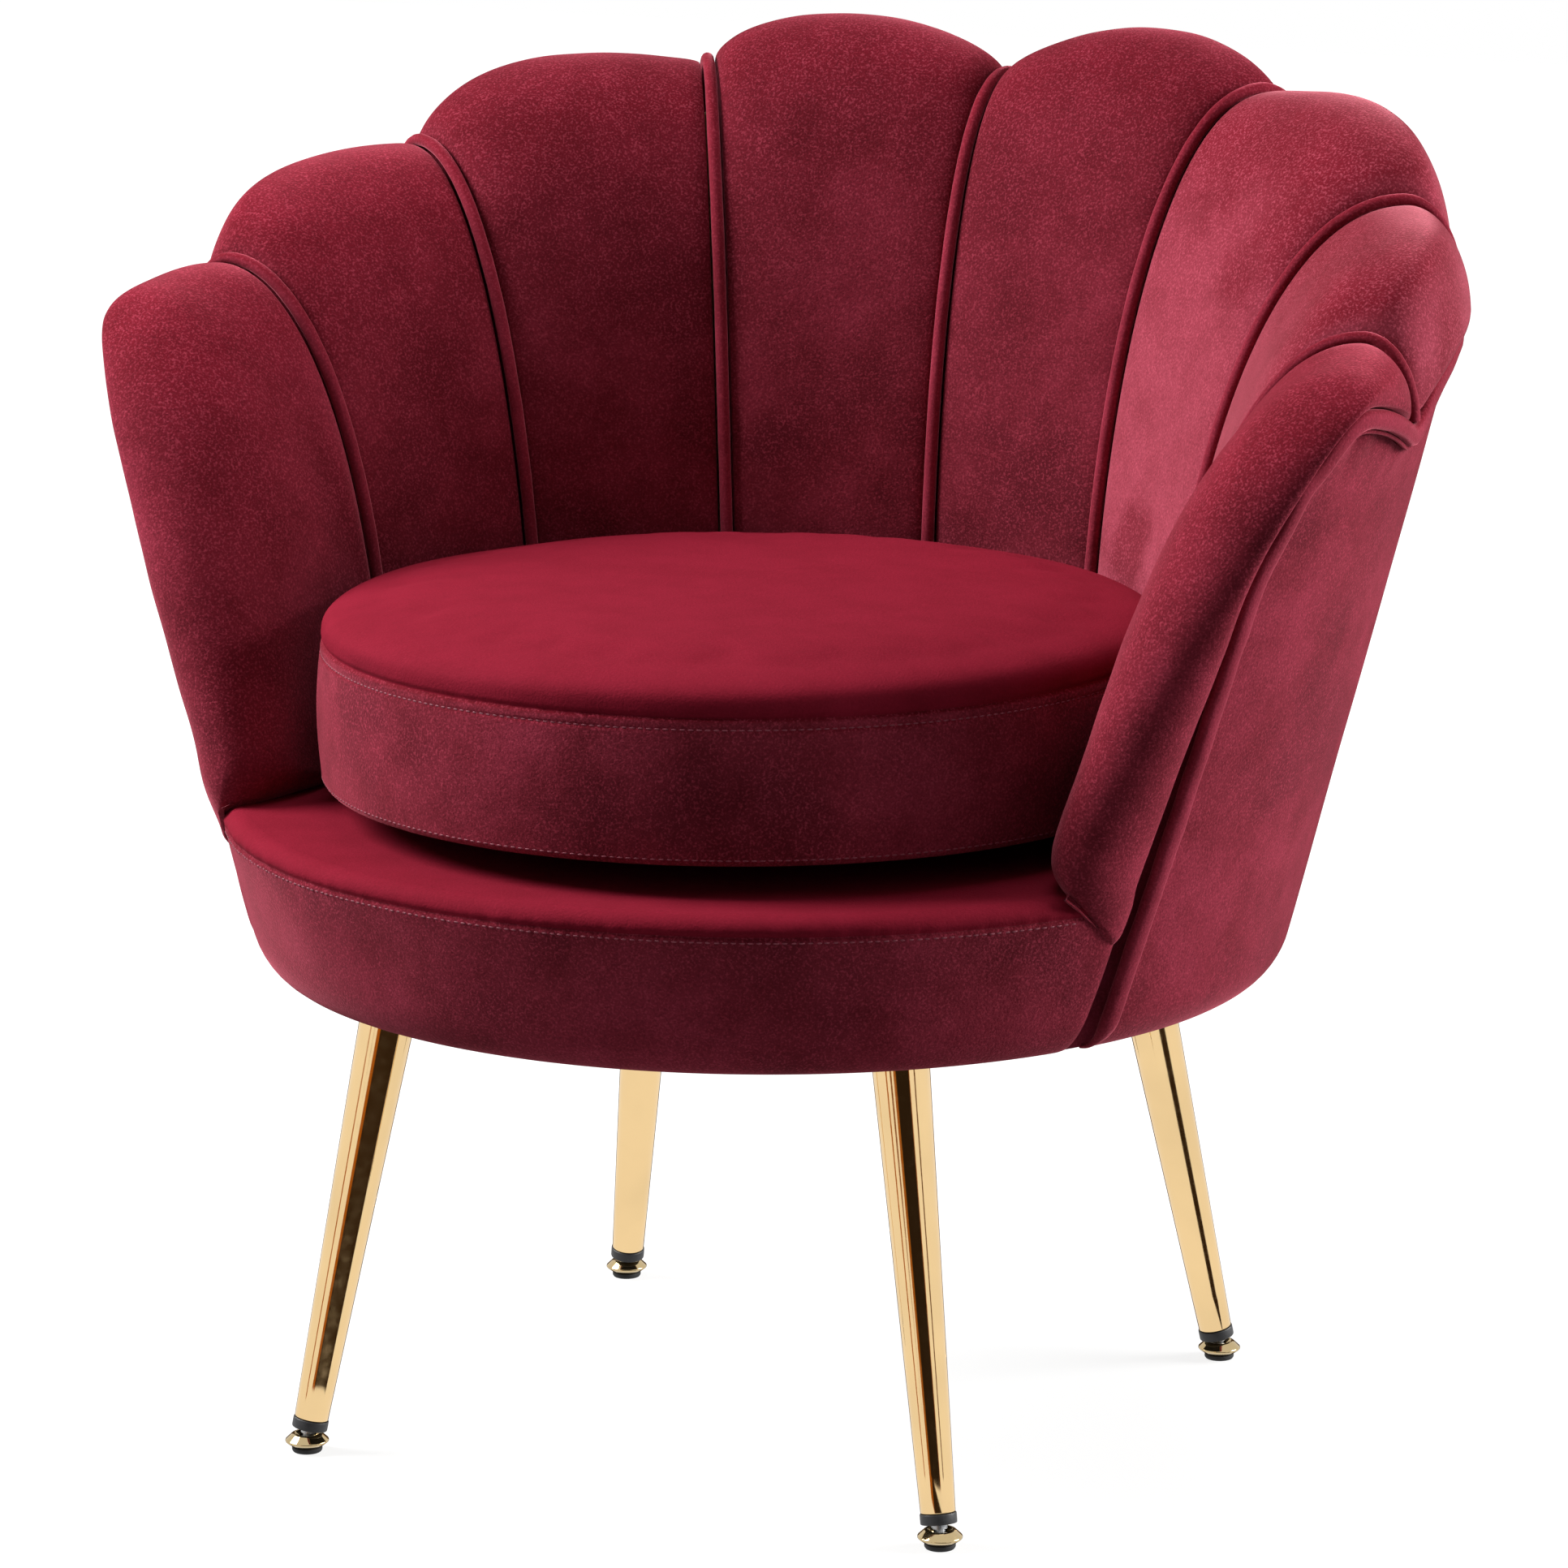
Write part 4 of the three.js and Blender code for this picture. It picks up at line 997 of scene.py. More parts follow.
class CushionSizes(bpy.types.PropertyGroup):
    seam_depth: length("Seam depth", "How deep the boxing's seams sink", 0.0015, 0, 0.01)
    stitch_inset: length(
        "Top stitch inset", "From a seam to the row of stitches beside it", 0.0065, 0.001, 0.02
    )
    swell_cap: swell_length(0.0035)
    pressure: filling_pressure()


def color_property(name, description, code):
    return FloatVectorProperty(
        name=name, description=description, subtype="COLOR", default=linear(code)[:3]
    )


class ChairColors(bpy.types.PropertyGroup):
    pile: color_property("Velvet", "The velvet's pile on the upright cloths", "#7d2534")
    pile_deep: color_property("Velvet, deep", "Stroked away from the light", "#691d2a")
    pile_lit: color_property("Velvet, lit", "Stroked towards the light", "#8c2c3e")
    # Painted shade: the darker, redder colour that faces turned upwards and high parts get
    pile_laid: color_property("Pile laid", "Velvet whose pile is seen along it", "#731323")
    # Painted light: the lighter tone of the lit copy on pads 6 and 7
    brushed: color_property("Brushed", "Velvet whose pile stands towards the light", "#a04253")
    # The level cloths' copy of the velvet, in tones painted redder for the light from above
    flat: color_property("Level velvet", "The pile on the cushion's top and the deck", "#7d1629")
    flat_deep: color_property("Level velvet, deep", "Stroked away from the light", "#751426")
    flat_lit: color_property("Level velvet, lit", "Stroked towards the light", "#84192d")
    sheen: color_property("Sheen", "The light that the pile's tips throw back", "#ff8799")
    # The sheen of the lit copy on pads 6 and 7
    sheen_painted_lit: color_property("Brushed sheen", "The same of the brushed velvet", "#ff9fac")
    gold: color_property("Gold", "The legs' plating", "#f2d09a")
    bronze: color_property("Bronze", "The glide discs' plating", "#c7b084")


def camera_angle(name, description, degrees):
    return FloatProperty(
        name=name, description=description, default=radians(degrees),
        subtype="ANGLE", unit="ROTATION",
    )


def lamp_power(side, watts):
    description = f"Power of the lamp {side}, in watts"
    return FloatProperty(name=f"Light {side}", description=description, default=watts)


class StudioSizes(bpy.types.PropertyGroup):
    azimuth: camera_angle("Camera azimuth", "The camera's turn from the chair's front", 25.752)
    elevation: camera_angle("Camera elevation", "The camera's angle above the floor", 11.937)
    distance: length("Camera distance", "From the camera to the point it looks at", 4.0871, 0, 100)
    top_power: lamp_power("above", 28)
    left_power: lamp_power("on the left", 160)
    right_power: lamp_power("on the right", 126)
    fill: FloatProperty(name="Fill", description="The light from all round", default=0.15)
    floor_width: length("Floor width", "Width of the floor", 14, 0, 100)


# The pieces


def pad_stations(petal, steps):
    if petal == len(PIPINGS) - 1:
        return [arm_station(i / steps) for i in range(steps + 1)]
    stations = []
    for i in range(steps + 1):
        turn = i / steps * pi
        bulge = sin(turn) ** SCALLOP_FULLNESS
        shift = (PIPING_RADIUS + GAP) * cos(turn)
        stations.append(back_station(petal + (1 - cos(turn)) / 2, bulge, shift))
    return stations


def tongue_rows(wall_steps, roll_steps):
    """The front points of the arm's tongue, and the points behind them on the panel."""
    front, behind = [], []
    for inner, ridge, outer in TONGUE:
        places = []
        for turn in quarter(wall_steps):
            across, up = 1 - cos(turn), sin(turn)
            places.append([lerp(a, b, s) for a, b, s in zip(inner, ridge, (across, across, up))])
        for turn in quarter(roll_steps, 1):
            across, down = sin(turn), 1 - cos(turn)
            places.append([lerp(a, b, s) for a, b, s in zip(ridge, outer, (across, across, down))])
        front.append([shell_point(radians(turn), z, -proud) for turn, z, proud in places])
        behind.append([shell_point(radians(turn), z, TONGUE_BACK_INSET) for turn, z, _ in places])
    turn, z = TONGUE_TIP
    front.append([shell_point(radians(turn), z, TONGUE_TIP_INSET)] * len(front[0]))
    behind.append([shell_point(radians(turn), z, TONGUE_BACK_INSET)] * len(front[0]))
    return front, behind


def row_lengths(grid):
    """How far each point lies along its line across the pad, from the first row on."""
    lengths = [[0.0] * len(grid[0])]
    for before, row in zip(grid, grid[1:]):
        lengths.append([d + (p - q).length for d, p, q in zip(lengths[-1], row, before)])
    return lengths


class CHAIR_OT_petal_pads(bpy.types.Operator):
    """Builds the eight petal pads: foam under velvet, swelled by its filling"""

    bl_idname = "chair.petal_pads"
    bl_label = "Petal pads"
    steps = 34
    arm_steps = 64
    wall_steps = 30
    roll_steps = 14
    wide_rumple, fine_rumple = 75, 26
    fine_share = 0.4
    calm_edge = 20  # the foam's unevenness fades out over this width at a pad's sides
    fine_seed = 9
    nose_top, nose_height = 410, 40
    nose_growth, nose_late = 2.2, 1.2  # how it grows up the inner wall, and how late that starts
    lowest_top, lowest_height = 388, 18
    blended_before, blended_after = 5, 4  # rows round the tongue's start
    blends = 14

    def nose(self, point, column):
        """How far the filling pushes the nose ahead, low on the arm and away from its foot."""
        low = smooth_step((self.nose_top - point.z) / self.nose_height)
        beside = smooth_step(self.nose_growth * column / self.wall_steps - self.nose_late)
        at_seam = 1 - max(column - self.wall_steps, 0) / self.roll_steps
        lowest = smooth_step((self.lowest_top - point.z) / self.lowest_height)
        ahead = Vector((point.x, point.y - DRUM_Y, 0)).normalized()
        return ahead * (NOSE_FILL + NOSE_FILL_LOWEST * lowest) * low * beside * sqrt(at_seam)

    def shaped(self, face, number, is_arm, sizes):
        """The face with the foam's unevenness, turned in at its sides, and an arm's nose."""
        normals = grid_normals(face)
        lengths = row_lengths(face)
        depth, width = sizes.valley_depth / MM, sizes.valley_width / MM
        rows = []
        for i, row in enumerate(face):
            line = []
            for j, point in enumerate(row):
                near = lengths[i][j]
                far = lengths[-1][j] - near
                dip = exp(-near / width) + (0 if is_arm else exp(-far / width))
                fine = self.fine_share * rumple(point, self.fine_rumple, number + self.fine_seed)
                settle = sizes.rumple / MM * (rumple(point, self.wide_rumple, number) + fine)
                edge = min(near, far) / self.calm_edge
                spot = point + normals[i][j] * (-depth * dip + settle * min(edge, 1))
                if is_arm and i > len(face) // 2:
                    spot += self.nose(point, j)
                line.append(spot)
            rows.append(line)
        return rows

    def blend(self, rows, steps):
        """Runs the arm's pad into its tongue without a crease."""
        first, last = steps - self.blended_before, steps + self.blended_after
        for _ in range(self.blends):
            blended = [
                [softened(*points) for points in zip(*rows[i - 1 : i + 2])]
                for i in range(first, last)
            ]
            for row, new in zip(rows[first:last], blended):
                row[2:-1] = new[2:-1]

    def pad(self, petal, side, number, sizes):
        is_arm = petal == len(PIPINGS) - 1
        steps = self.arm_steps if is_arm else self.steps
        stations = pad_stations(petal, steps)
        face = [face_points(s, self.wall_steps, self.roll_steps) for s in stations]
        hidden = [hidden_points(s, self.wall_steps, self.roll_steps) for s in stations]
        shaped = self.shaped(face, number, is_arm, sizes)
        if is_arm:
            tongue, under = tongue_rows(self.wall_steps, self.roll_steps)
            shaped += tongue
            hidden += under
            self.blend(shaped, steps)
        if side < 0:
            shaped = [mirrored(row) for row in shaped]
            hidden = [mirrored(row) for row in hidden]
        piece = slab(f"petal_pad_{number}", shaped, hidden)
        rows, columns = len(shaped), len(shaped[0])
        pinned = {}
        for i in range(rows):
            for j in range(columns):
                pinned[rows * columns + i * columns + j] = 1.0
                if i == 0 or i >= steps or j in (0, columns - 1):
                    pinned[i * columns + j] = 1.0
        swell(piece, pinned, sizes.swell_cap, sizes.pressure)
        subdivide(piece)
        finish = PAD_FINISHES.get(number, "velvet_wine")
        dress(piece, finish, "velvet", "chair", f"back_petal_{number}")

    def execute(self, context):
        sizes = context.scene.chair_pads
        arm = len(PIPINGS) - 1
        for petal in range(len(PIPINGS)):
            self.pad(petal, 1, arm + petal + 2, sizes)
            self.pad(petal, -1, arm - petal + 1, sizes)
        return {"FINISHED"}


def cord_ring(point, along, radius, sides):
    """A round ring square to a cord, its first point on the cord's upper side."""
    across = along.cross(Vector((0, 0, 1)))
    across = across.normalized() if across.length > UPRIGHT else Vector((1, 0, 0))
    up = across.cross(along)
    turns = [i / sides * 2 * pi for i in range(sides)]
    return [point + (across * cos(t) + up * sin(t)) * radius for t in turns]


class CHAIR_OT_pipings(bpy.types.Operator):
    """Builds the seven pipings in the notches between the pads"""

    bl_idname = "chair.pipings"
    bl_label = "Pipings"
    wall_steps = 60
    roll_steps = 30
    sides = 14
    # How far the cord wanders and by what share its thickness wavers, the step that each point
    # of it takes in the noise, the step from cord to cord, and the noise's width
    wander = (0.5, 3.0, 50, 60)
    waver = (0.05, 4.0, 30, 9)

    def piping(self, place, side, number, radius):
        station = back_station(place, 0)
        points = face_points(station, self.wall_steps, self.roll_steps)
        across = Vector((0, 0, 1)).cross(unit_out(station["angle"]))
        most, step, cord_step, width = self.wander
        path = []
        for i, point in enumerate(points):
            before, after = points[max(i - 1, 0)], points[min(i + 1, len(points) - 1)]
            out = (after - before).normalized().cross(across)
            wander = across * most * rumple((i * step, number * cord_step, 0), width, number)
            path.append(point + out * radius * (1 - 2 * CORD_SINK) + wander)
        path[-1].z += WELT_CLEAR
        if side < 0:
            path = mirrored(path)

        def ring_of(i, point, along):
            most, step, cord_step, width = self.waver
            thick = radius * (1 + most * rumple((i * step, 0, number * cord_step), width, number))
            return cord_ring(point, along, thick, self.sides)

        piece = tube(f"piping_{number}", path, ring_of)
        dress(piece, "velvet_wine_cord", "velvet_cord", "chair", f"petal_piping_{number}")

    def execute(self, context):
        radius = context.scene.chair_trim.piping_radius / MM
        middle = len(PIPINGS)
        for place in range(middle):
            self.piping(place, 1, middle + place, radius)
            if place > 0:
                self.piping(place, -1, middle - place, radius)
        return {"FINISHED"}


RIM_PETAL_STEPS = 24
RIM_ARM_STEPS = 30


def rim_points(drop):
    """The cover's upper edge on the chair's right, dropped square to the seam, from the middle
    of the back to the arm's front. Points are (share of the front edge's turn, z)."""
    stations = []
    for petal in range(len(PIPINGS) - 1):
        for i in range(RIM_PETAL_STEPS):
            share = i / RIM_PETAL_STEPS
            bulge = (2 * sqrt(share * (1 - share))) ** SCALLOP_FULLNESS
            stations.append(back_station(petal + share, bulge))
    stations += [arm_station(CORNER_SHARE * i / RIM_ARM_STEPS) for i in range(RIM_ARM_STEPS + 1)]
    seams = [station["seam"] for station in stations]
    points = []
    for i, station in enumerate(stations[:-1]):
        before = seams[i - 1] if i > 0 else mirrored([seams[1]])[0]
        down = unit_out(station["angle"]).cross(seams[i + 1] - before).normalized()
        point = seams[i] + down * drop
        points.append((min(shell_turn_of(point, 0) / cover_turn(point.z), 1), point.z))
    points.append((1, seams[-1].z - drop - CORNER_DROP))
    return points


def whole_rim(half):
    return [(-share, z) for share, z in half[:0:-1]] + half


class CHAIR_OT_outside_cover(bpy.types.Operator):
    """Builds the smooth panel round the outside, puckered under its welt"""

    bl_idname = "chair.outside_cover"
    bl_label = "Outside cover"
    levels = 44
    level_spread = 1.6  # sets the levels closer together beside the welt
    tucks = 10
    gather_width, gather_seed, gather_steepness, gather_reach = 7.5, 3, 9, 15
    sag_height, sag_width, sag_seed, sag_start = 1.1, 120, 5, 60
    push_reach = 16
    push_spared = 3  # of the welt's push, what the panel doesn't follow

    def execute(self, context):
        sizes = context.scene.chair_trim
        rim_top = DRUM_BOTTOM + RIM_RISE
        front, back = [], []
        for share, top in whole_rim(rim_points(WELT_SLOT)):

            def at(z, inset):
                return shell_point(share * cover_turn(z), z, inset)

            line = []
            for i in range(self.levels + 1):
                z = lerp(top, rim_top, (i / self.levels) ** self.level_spread)
                point = at(z, 0)
                turn = atan2(point.x, point.y - DRUM_Y)
                along = (turn * PANEL_RADIUS, 0, z / self.gather_steepness)
                gather = rumple(along, self.gather_width, self.gather_seed)
                gather *= exp(-(top - z) / self.gather_reach)
                sag = self.sag_height * rumple(point, self.sag_width, self.sag_seed)
                sag *= min((top - z) / self.sag_start, 1)
                push = (WELT_PROUD - self.push_spared) * pushed_out(point)
                push *= bell(top - z, self.push_reach)
                proud = sizes.pucker_depth / MM * gather + sag + push
                line.append(point + unit_out(turn) * proud)
            for turn in quarter(self.tucks, 1):
                line.append(at(rim_top - RIM_RISE * sin(turn), RIM_ROUND * (1 - cos(turn))))
            front.append(line)
            count = len(line) - 1
            heights = [lerp(top, DRUM_BOTTOM, i / count) for i in range(count + 1)]
            back.append([at(z, COVER_THICKNESS) for z in heights])
        piece = slab("outside_panel", front, back)
        dress(piece, "velvet_wine", "velvet", "chair", "outside_cover")
        return {"FINISHED"}


def pushed_out(point):
    """How much of its push the welt gets from the arm's roll at a point, 0 to 1."""
    start, height = PUSH_RISE
    behind, depth = PUSH_FORWARD
    upward = smooth_step((point.z - start) / height)
    return upward * smooth_step((BOWL_Y + behind - point.y) / depth)


EDGE_FRONT_STEPS = 60
EDGE_TUCKS = 10
EDGE_BEND = (0.6, 1.2)  # how much the bend into the arm's front is eased, and how fast that fades
EDGE_PUSHED_AHEAD = -1  # where the welt lies against the front edge when it is pushed right out
EDGE_TUCK_EXTRA = 2


def cover_edge(drop, ahead, inset):
    """A line along the cover's edge: over the top, down the arm's front and under the drum."""
    half = []
    for share, z in rim_points(drop)[:-2]:
        proud = WELT_PROUD * pushed_out(shell_point(share * cover_turn(z), z, inset))
        half.append(shell_point(share * cover_turn(z), z, inset - proud))
    top = half[-1]
    bottom = DRUM_BOTTOM + RIM_RISE
    eased, fading = EDGE_BEND
    for i in range(1, EDGE_FRONT_STEPS + 1):
        z = lerp(top.z, bottom, i / EDGE_FRONT_STEPS)
        push = pushed_out(shell_point(cover_turn(z), z, 0))
        turn = cover_turn(z, lerp(ahead, EDGE_PUSHED_AHEAD, push))
        point = shell_point(turn, z, inset - WELT_PROUD * push)
        half.append(point.lerp(top, exp(-i * fading) * eased))
    for turn in quarter(EDGE_TUCKS, 1):
        z = bottom - RIM_RISE * sin(turn)
        tuck = (RIM_ROUND + EDGE_TUCK_EXTRA) * (1 - cos(turn))
        half.append(shell_point(cover_turn(z, ahead), z, inset + tuck))
    path = mirrored(half[:0:-1]) + half
    return [path[0], *(softened(*points) for points in zip(path, path[1:], path[2:])), path[-1]]


class CHAIR_OT_outside_welt(bpy.types.Operator):
    """Builds the folded welt round the outside panel's edge, and the fold beside it"""

    bl_idname = "chair.outside_welt"
    bl_label = "Outside welt"
    sides = 16
    squareness = 0.75  # of its section: 1 is an ellipse
    thinned = 0.72  # how much thinner its ends are, under the drum
    end_share = 0.8  # of the drum's turned rim, over which it thins out
    # The noises' widths and seeds: of its thickness, outward and across
    thick_noise, out_noise, across_noise = (14, 21), (22, 33), (30, 37)
    drop_gaps = 1.5  # how many gaps lie between the pads' seam and the welt
    # How far their middles stand off the panel's face, as a share of their half depth
    welt_proud, fold_proud = 0.3, 0.5
    welt_unevenness, fold_unevenness = (0.1, 0.5), (0.2, 0.35)  # its wavering and swinging

    def folded(self, name, path, height, depth, waver, swing):
        """A folded strip along a path, wavering in its thickness and swinging off its line."""

        def squared(value):
            return math.copysign(abs(value) ** self.squareness, value)

        def ring_of(i, point, along):
            out = Vector((point.x, point.y - DRUM_Y, 0)).normalized()
            out = (out - along * out.dot(along)).normalized()
            across = along.cross(out)
            below = DRUM_BOTTOM + RIM_RISE * self.end_share - point.z
            ending = self.thinned * smooth_step(below / RIM_RISE / self.end_share)
            thick = (1 + waver * rumple(point, *self.thick_noise)) * (1 - ending)
            middle = point + out * swing * rumple(point, *self.out_noise)
            middle += across * swing * rumple(point, *self.across_noise)
            ring = []
            for j in range(self.sides):
                turn = j / self.sides * 2 * pi
                proud = out * squared(sin(turn)) * depth * (1 - ending)
                ring.append(middle + across * squared(cos(turn)) * height * thick + proud)
            return ring

        return tube(name, path, ring_of)

    def execute(self, context):
        sizes = context.scene.chair_trim
        height, depth = sizes.welt_height / MM / 2, sizes.welt_depth / MM / 2
        drop = height + GAP * self.drop_gaps
        path = cover_edge(drop, WELT_RADIUS + GAP, -depth * self.welt_proud)
        piece = self.folded("folded_welt", path, height, depth, *self.welt_unevenness)
        dress(piece, "velvet_wine_cord", "velvet_cord", "chair", "outside_welt")
        radius = sizes.fold_radius / MM
        path = cover_edge(WELT_SLOT, 0, -radius * self.fold_proud)
        piece = self.folded("cover_fold", path, radius, radius, *self.fold_unevenness)
        dress(piece, "velvet_wine", "velvet", "chair")
        return {"FINISHED"}


SEAM_STEPS = (0, 0.7, 1.4, 2.2, 3.2, 4.6, 5.6, 6.3, 7, 8, 10, 13, 17)
SEAM_SPARED = 2
SEAM_PITCH = 4.6  # of the stitches that pull the velvet in
PUCKER_WIDTH = 5
PUCKER_SEED = 61
PUCKER_STEEPNESS = 0.4
PUCKER_REACH = 6


def seam_steps(reach):
    """Distances from a seam, close together beside it, up to a reach."""
    return [step for step in SEAM_STEPS if step < reach - SEAM_SPARED]


def bell(distance, width):
    return exp(-((distance / width) ** 2))


def pucker(along, z, near, depth):
    """Puckers that the stitches of a seam pull, at a distance from it."""
    wave = rumple((along, 0, z * PUCKER_STEEPNESS), PUCKER_WIDTH, PUCKER_SEED)
    return depth * wave * bell(near, PUCKER_REACH)


class CHAIR_OT_drum_front(bpy.types.Operator):
    """Builds the drum's front panel, the fabric of the deck and the strips in the channels"""

    bl_idname = "chair.drum_front"
    bl_label = "Drum front and deck"
    across_steps = 260
    tucks = 9
    edge_steps = 12
    plain_steps = 8
    belly_height, belly_width, belly_seed = 1.6, 70, 31
    dent_depth, dent_width = 1.5, 1.5
    pucker_depth = 0.7
    stitch_dent, stitch_drop, stitch_width = 0.35, 3, 2.2
    turned_in, turned_width = 4, 3  # how deep the band's ends turn in, over what width
    top_fade = 3
    strip_steps = 80
    # From the cover's front edge on, and how deep the strip lies there
    strip = ((0.3, 4), (3, 8.5), (6, 11), (9, 12.3), (13, 12.9), (CHANNEL_WIDTH - GAP, 12.9))
    strip_deepest, strip_back = 13, 13.8
    strip_end = 0.6  # above the drum's bottom
    deck_steps = 70
    deck_rings = (1, 0.985, 0.95, 0.88, 0.78, 0.66, 0.5, 0.34, 0.18)
    deck_clear = 0.02
    lap_parts = 3  # the deck's corners lie one of these parts of a board's lap past the channel
    deck_sag, deck_sag_width, deck_sag_seed, deck_sag_start = 0.5, 60, 41, 12

    def dent(self, along, z, seam):
        """How deep the seam and its stitches pull the band in."""
        near = abs(z - seam)
        dent = self.dent_depth * bell(near, self.dent_width)
        dent -= pucker(along, z, near, self.pucker_depth)
        stitch = self.stitch_dent * cos(2 * pi * along / SEAM_PITCH)
        return dent + stitch * bell(seam - z - self.stitch_drop, self.stitch_width)

    def band(self, sizes):
        seam = DECK_HEIGHT - sizes.seam_drop / MM
        profile = []
        for i in range(self.tucks):
            turn = (1 - i / (self.tucks - 1)) * pi / 2
            profile.append((RIM_ROUND * (1 - cos(turn)), DRUM_BOTTOM + RIM_RISE * (1 - sin(turn))))
        low = DRUM_BOTTOM + RIM_RISE
        beside = seam_steps(seam - low)
        plain = [i / self.plain_steps for i in range(1, self.plain_steps)]
        profile += [(0, lerp(low, seam - beside[-1], share)) for share in plain]
        profile += [(0, seam - step) for step in beside[::-1]]
        for turn in quarter(self.edge_steps, 1):
            profile.append((COVER_THICKNESS * (1 - cos(turn)), lerp(seam, DECK_HEIGHT, sin(turn))))
        count = len(profile) - 1
        front, back = [], []
        for i in range(self.across_steps + 1):
            share = i / self.across_steps

            def at(inset, z):
                edge = cover_turn(z, CHANNEL_WIDTH)
                return shell_point(lerp(edge, 2 * pi - edge, share), z, inset)

            line = []
            for inset, z in profile:
                height = (z - DRUM_BOTTOM) / (DECK_HEIGHT - DRUM_BOTTOM)
                belly = 1 + rumple(at(inset, z), self.belly_width, self.belly_seed)
                belly *= self.belly_height * sin(pi * height)
                edge = min(share, 1 - share) * PANEL_LENGTH
                turned_in = self.turned_in * exp(-edge / self.turned_width)
                top = smooth_step((DECK_HEIGHT - z) / self.top_fade)
                dent = self.dent(share * PANEL_LENGTH, z, seam)
                line.append(at(inset + (dent - belly + turned_in) * top, z))
            front.append(line)
            under = DECK_HEIGHT - DECK_CLOTH
            heights = [lerp(DRUM_BOTTOM, under, j / count) for j in range(count + 1)]
            back.append([at(COVER_THICKNESS, z) for z in heights])
        piece = slab("drum_front_panel", front, back)
        dress(piece, "velvet_wine", "velvet", "chair", "front_band")
        face_with(piece, "velvet_wine_flat", lambda middle: middle.z > seam)

    def channel(self, side):
        """The velvet stretched over the board between the cover's front edge and the pad."""
        top = arm_station(CORNER_SHARE)["seam"].z - WELT_CLEAR
        front, back = [], []
        for i in range(self.strip_steps + 1):
            z = lerp(top, DRUM_BOTTOM + self.strip_end, i / self.strip_steps)
            below = min(max(DRUM_BOTTOM + RIM_RISE - z, 0) / RIM_RISE, 1)
            tuck = RIM_ROUND * (1 - cos(asin(below)))
            turns = [cover_turn(z, ahead) for ahead, _ in self.strip]
            depths = [min(inset + tuck, self.strip_deepest) for _, inset in self.strip]
            front.append([shell_point(turn, z, inset) for turn, inset in zip(turns, depths)])
            back.append([shell_point(turn, z, self.strip_back) for turn in turns])
        if side < 0:
            front, back = ([mirrored(row) for row in grid] for grid in (front, back))
        piece = slab(f"channel_strip_{'right' if side > 0 else 'left'}", front, back)
        dress(piece, "velvet_wine_cord", "velvet", "chair")

    def deck(self):
        under = DECK_HEIGHT - DECK_CLOTH
        edge = cover_turn(under, CHANNEL_WIDTH + BOARD_LAP / self.lap_parts)
        front_inset = COVER_THICKNESS + self.deck_clear
        arcs = ((-edge, edge, INSIDE_INSET), (edge, 2 * pi - edge, front_inset))
        shares = [i / self.deck_steps for i in range(self.deck_steps + 1)]
        middle = Vector((0, DRUM_Y, under))
        bm = bmesh.new()
        grids = []
        for z, lift in ((under, 0), (DECK_HEIGHT, 1)):
            outline = [
                shell_point(lerp(start, end, share), z, inset)
                for start, end, inset in arcs
                for share in shares
            ]
            rows = []
            for ring in self.deck_rings:
                row = []
                for spot in [middle.lerp(point, ring) for point in outline]:
                    sag = lift * self.deck_sag
                    sag *= rumple(spot, self.deck_sag_width, self.deck_sag_seed)
                    sag *= min(1, (1 - ring) * self.deck_sag_start)
                    row.append(bm.verts.new((spot.x, spot.y, z + min(sag, 0))))
                rows.append(row)
            grids.append((rows, bm.verts.new((0, DRUM_Y, z))))
        for rows, centre in grids:
            for near, far in zip(rows, rows[1:]):
                joined(bm, near, far)
            last = rows[-1]
            for j in range(len(last)):
                bm.faces.new((last[j], last[(j + 1) % len(last)], centre))
        joined(bm, grids[0][0][0], grids[1][0][0])
        piece = finish_mesh("deck_fabric", bm)
        dress(piece, "velvet_wine_flat", "velvet", "chair", "deck_cloth")

    def execute(self, context):
        self.band(context.scene.chair_trim)
        self.deck()
        self.channel(1)
        self.channel(-1)
        return {"FINISHED"}


BELLY_STEPS = 16
CROWN_STEPS = 36
CROWN_SPREAD = 1.5  # sets the crown's steps closer together at the seam
BOXING_SHARES = (0.28, 0.36, 0.43, 0.5, 0.57, 0.64, 0.72)


def cushion_profile():
    """The cushion's outline from the middle of its belly to the middle of its top."""
    points = []
    for share in map(sin, quarter(BELLY_STEPS)):
        points.append((CUSHION_RADIUS * share, lerp(DECK_HEIGHT + GAP, SEAM_LOW, share**3)))
    height = SEAM_HIGH - SEAM_LOW
    beside = seam_steps(height / 2)[1:]
    rises = [*beside, *(height * share for share in BOXING_SHARES)]
    rises += [height - step for step in beside[::-1]] + [height]
    for rise in rises:
        points.append((CUSHION_RADIUS + CUSHION_BULGE * sin(rise / height * pi), SEAM_LOW + rise))
    for i in range(1, CROWN_STEPS + 1):
        share = cos((i / CROWN_STEPS) ** CROWN_SPREAD * pi / 2)
        crown = CUSHION_CROWN * (1 - share**4) ** (1 / 4)
        points.append((CUSHION_RADIUS * share, SEAM_HIGH + crown))
    points[0] = (0, points[0][1])
    points[-1] = (0, points[-1][1])
    return points


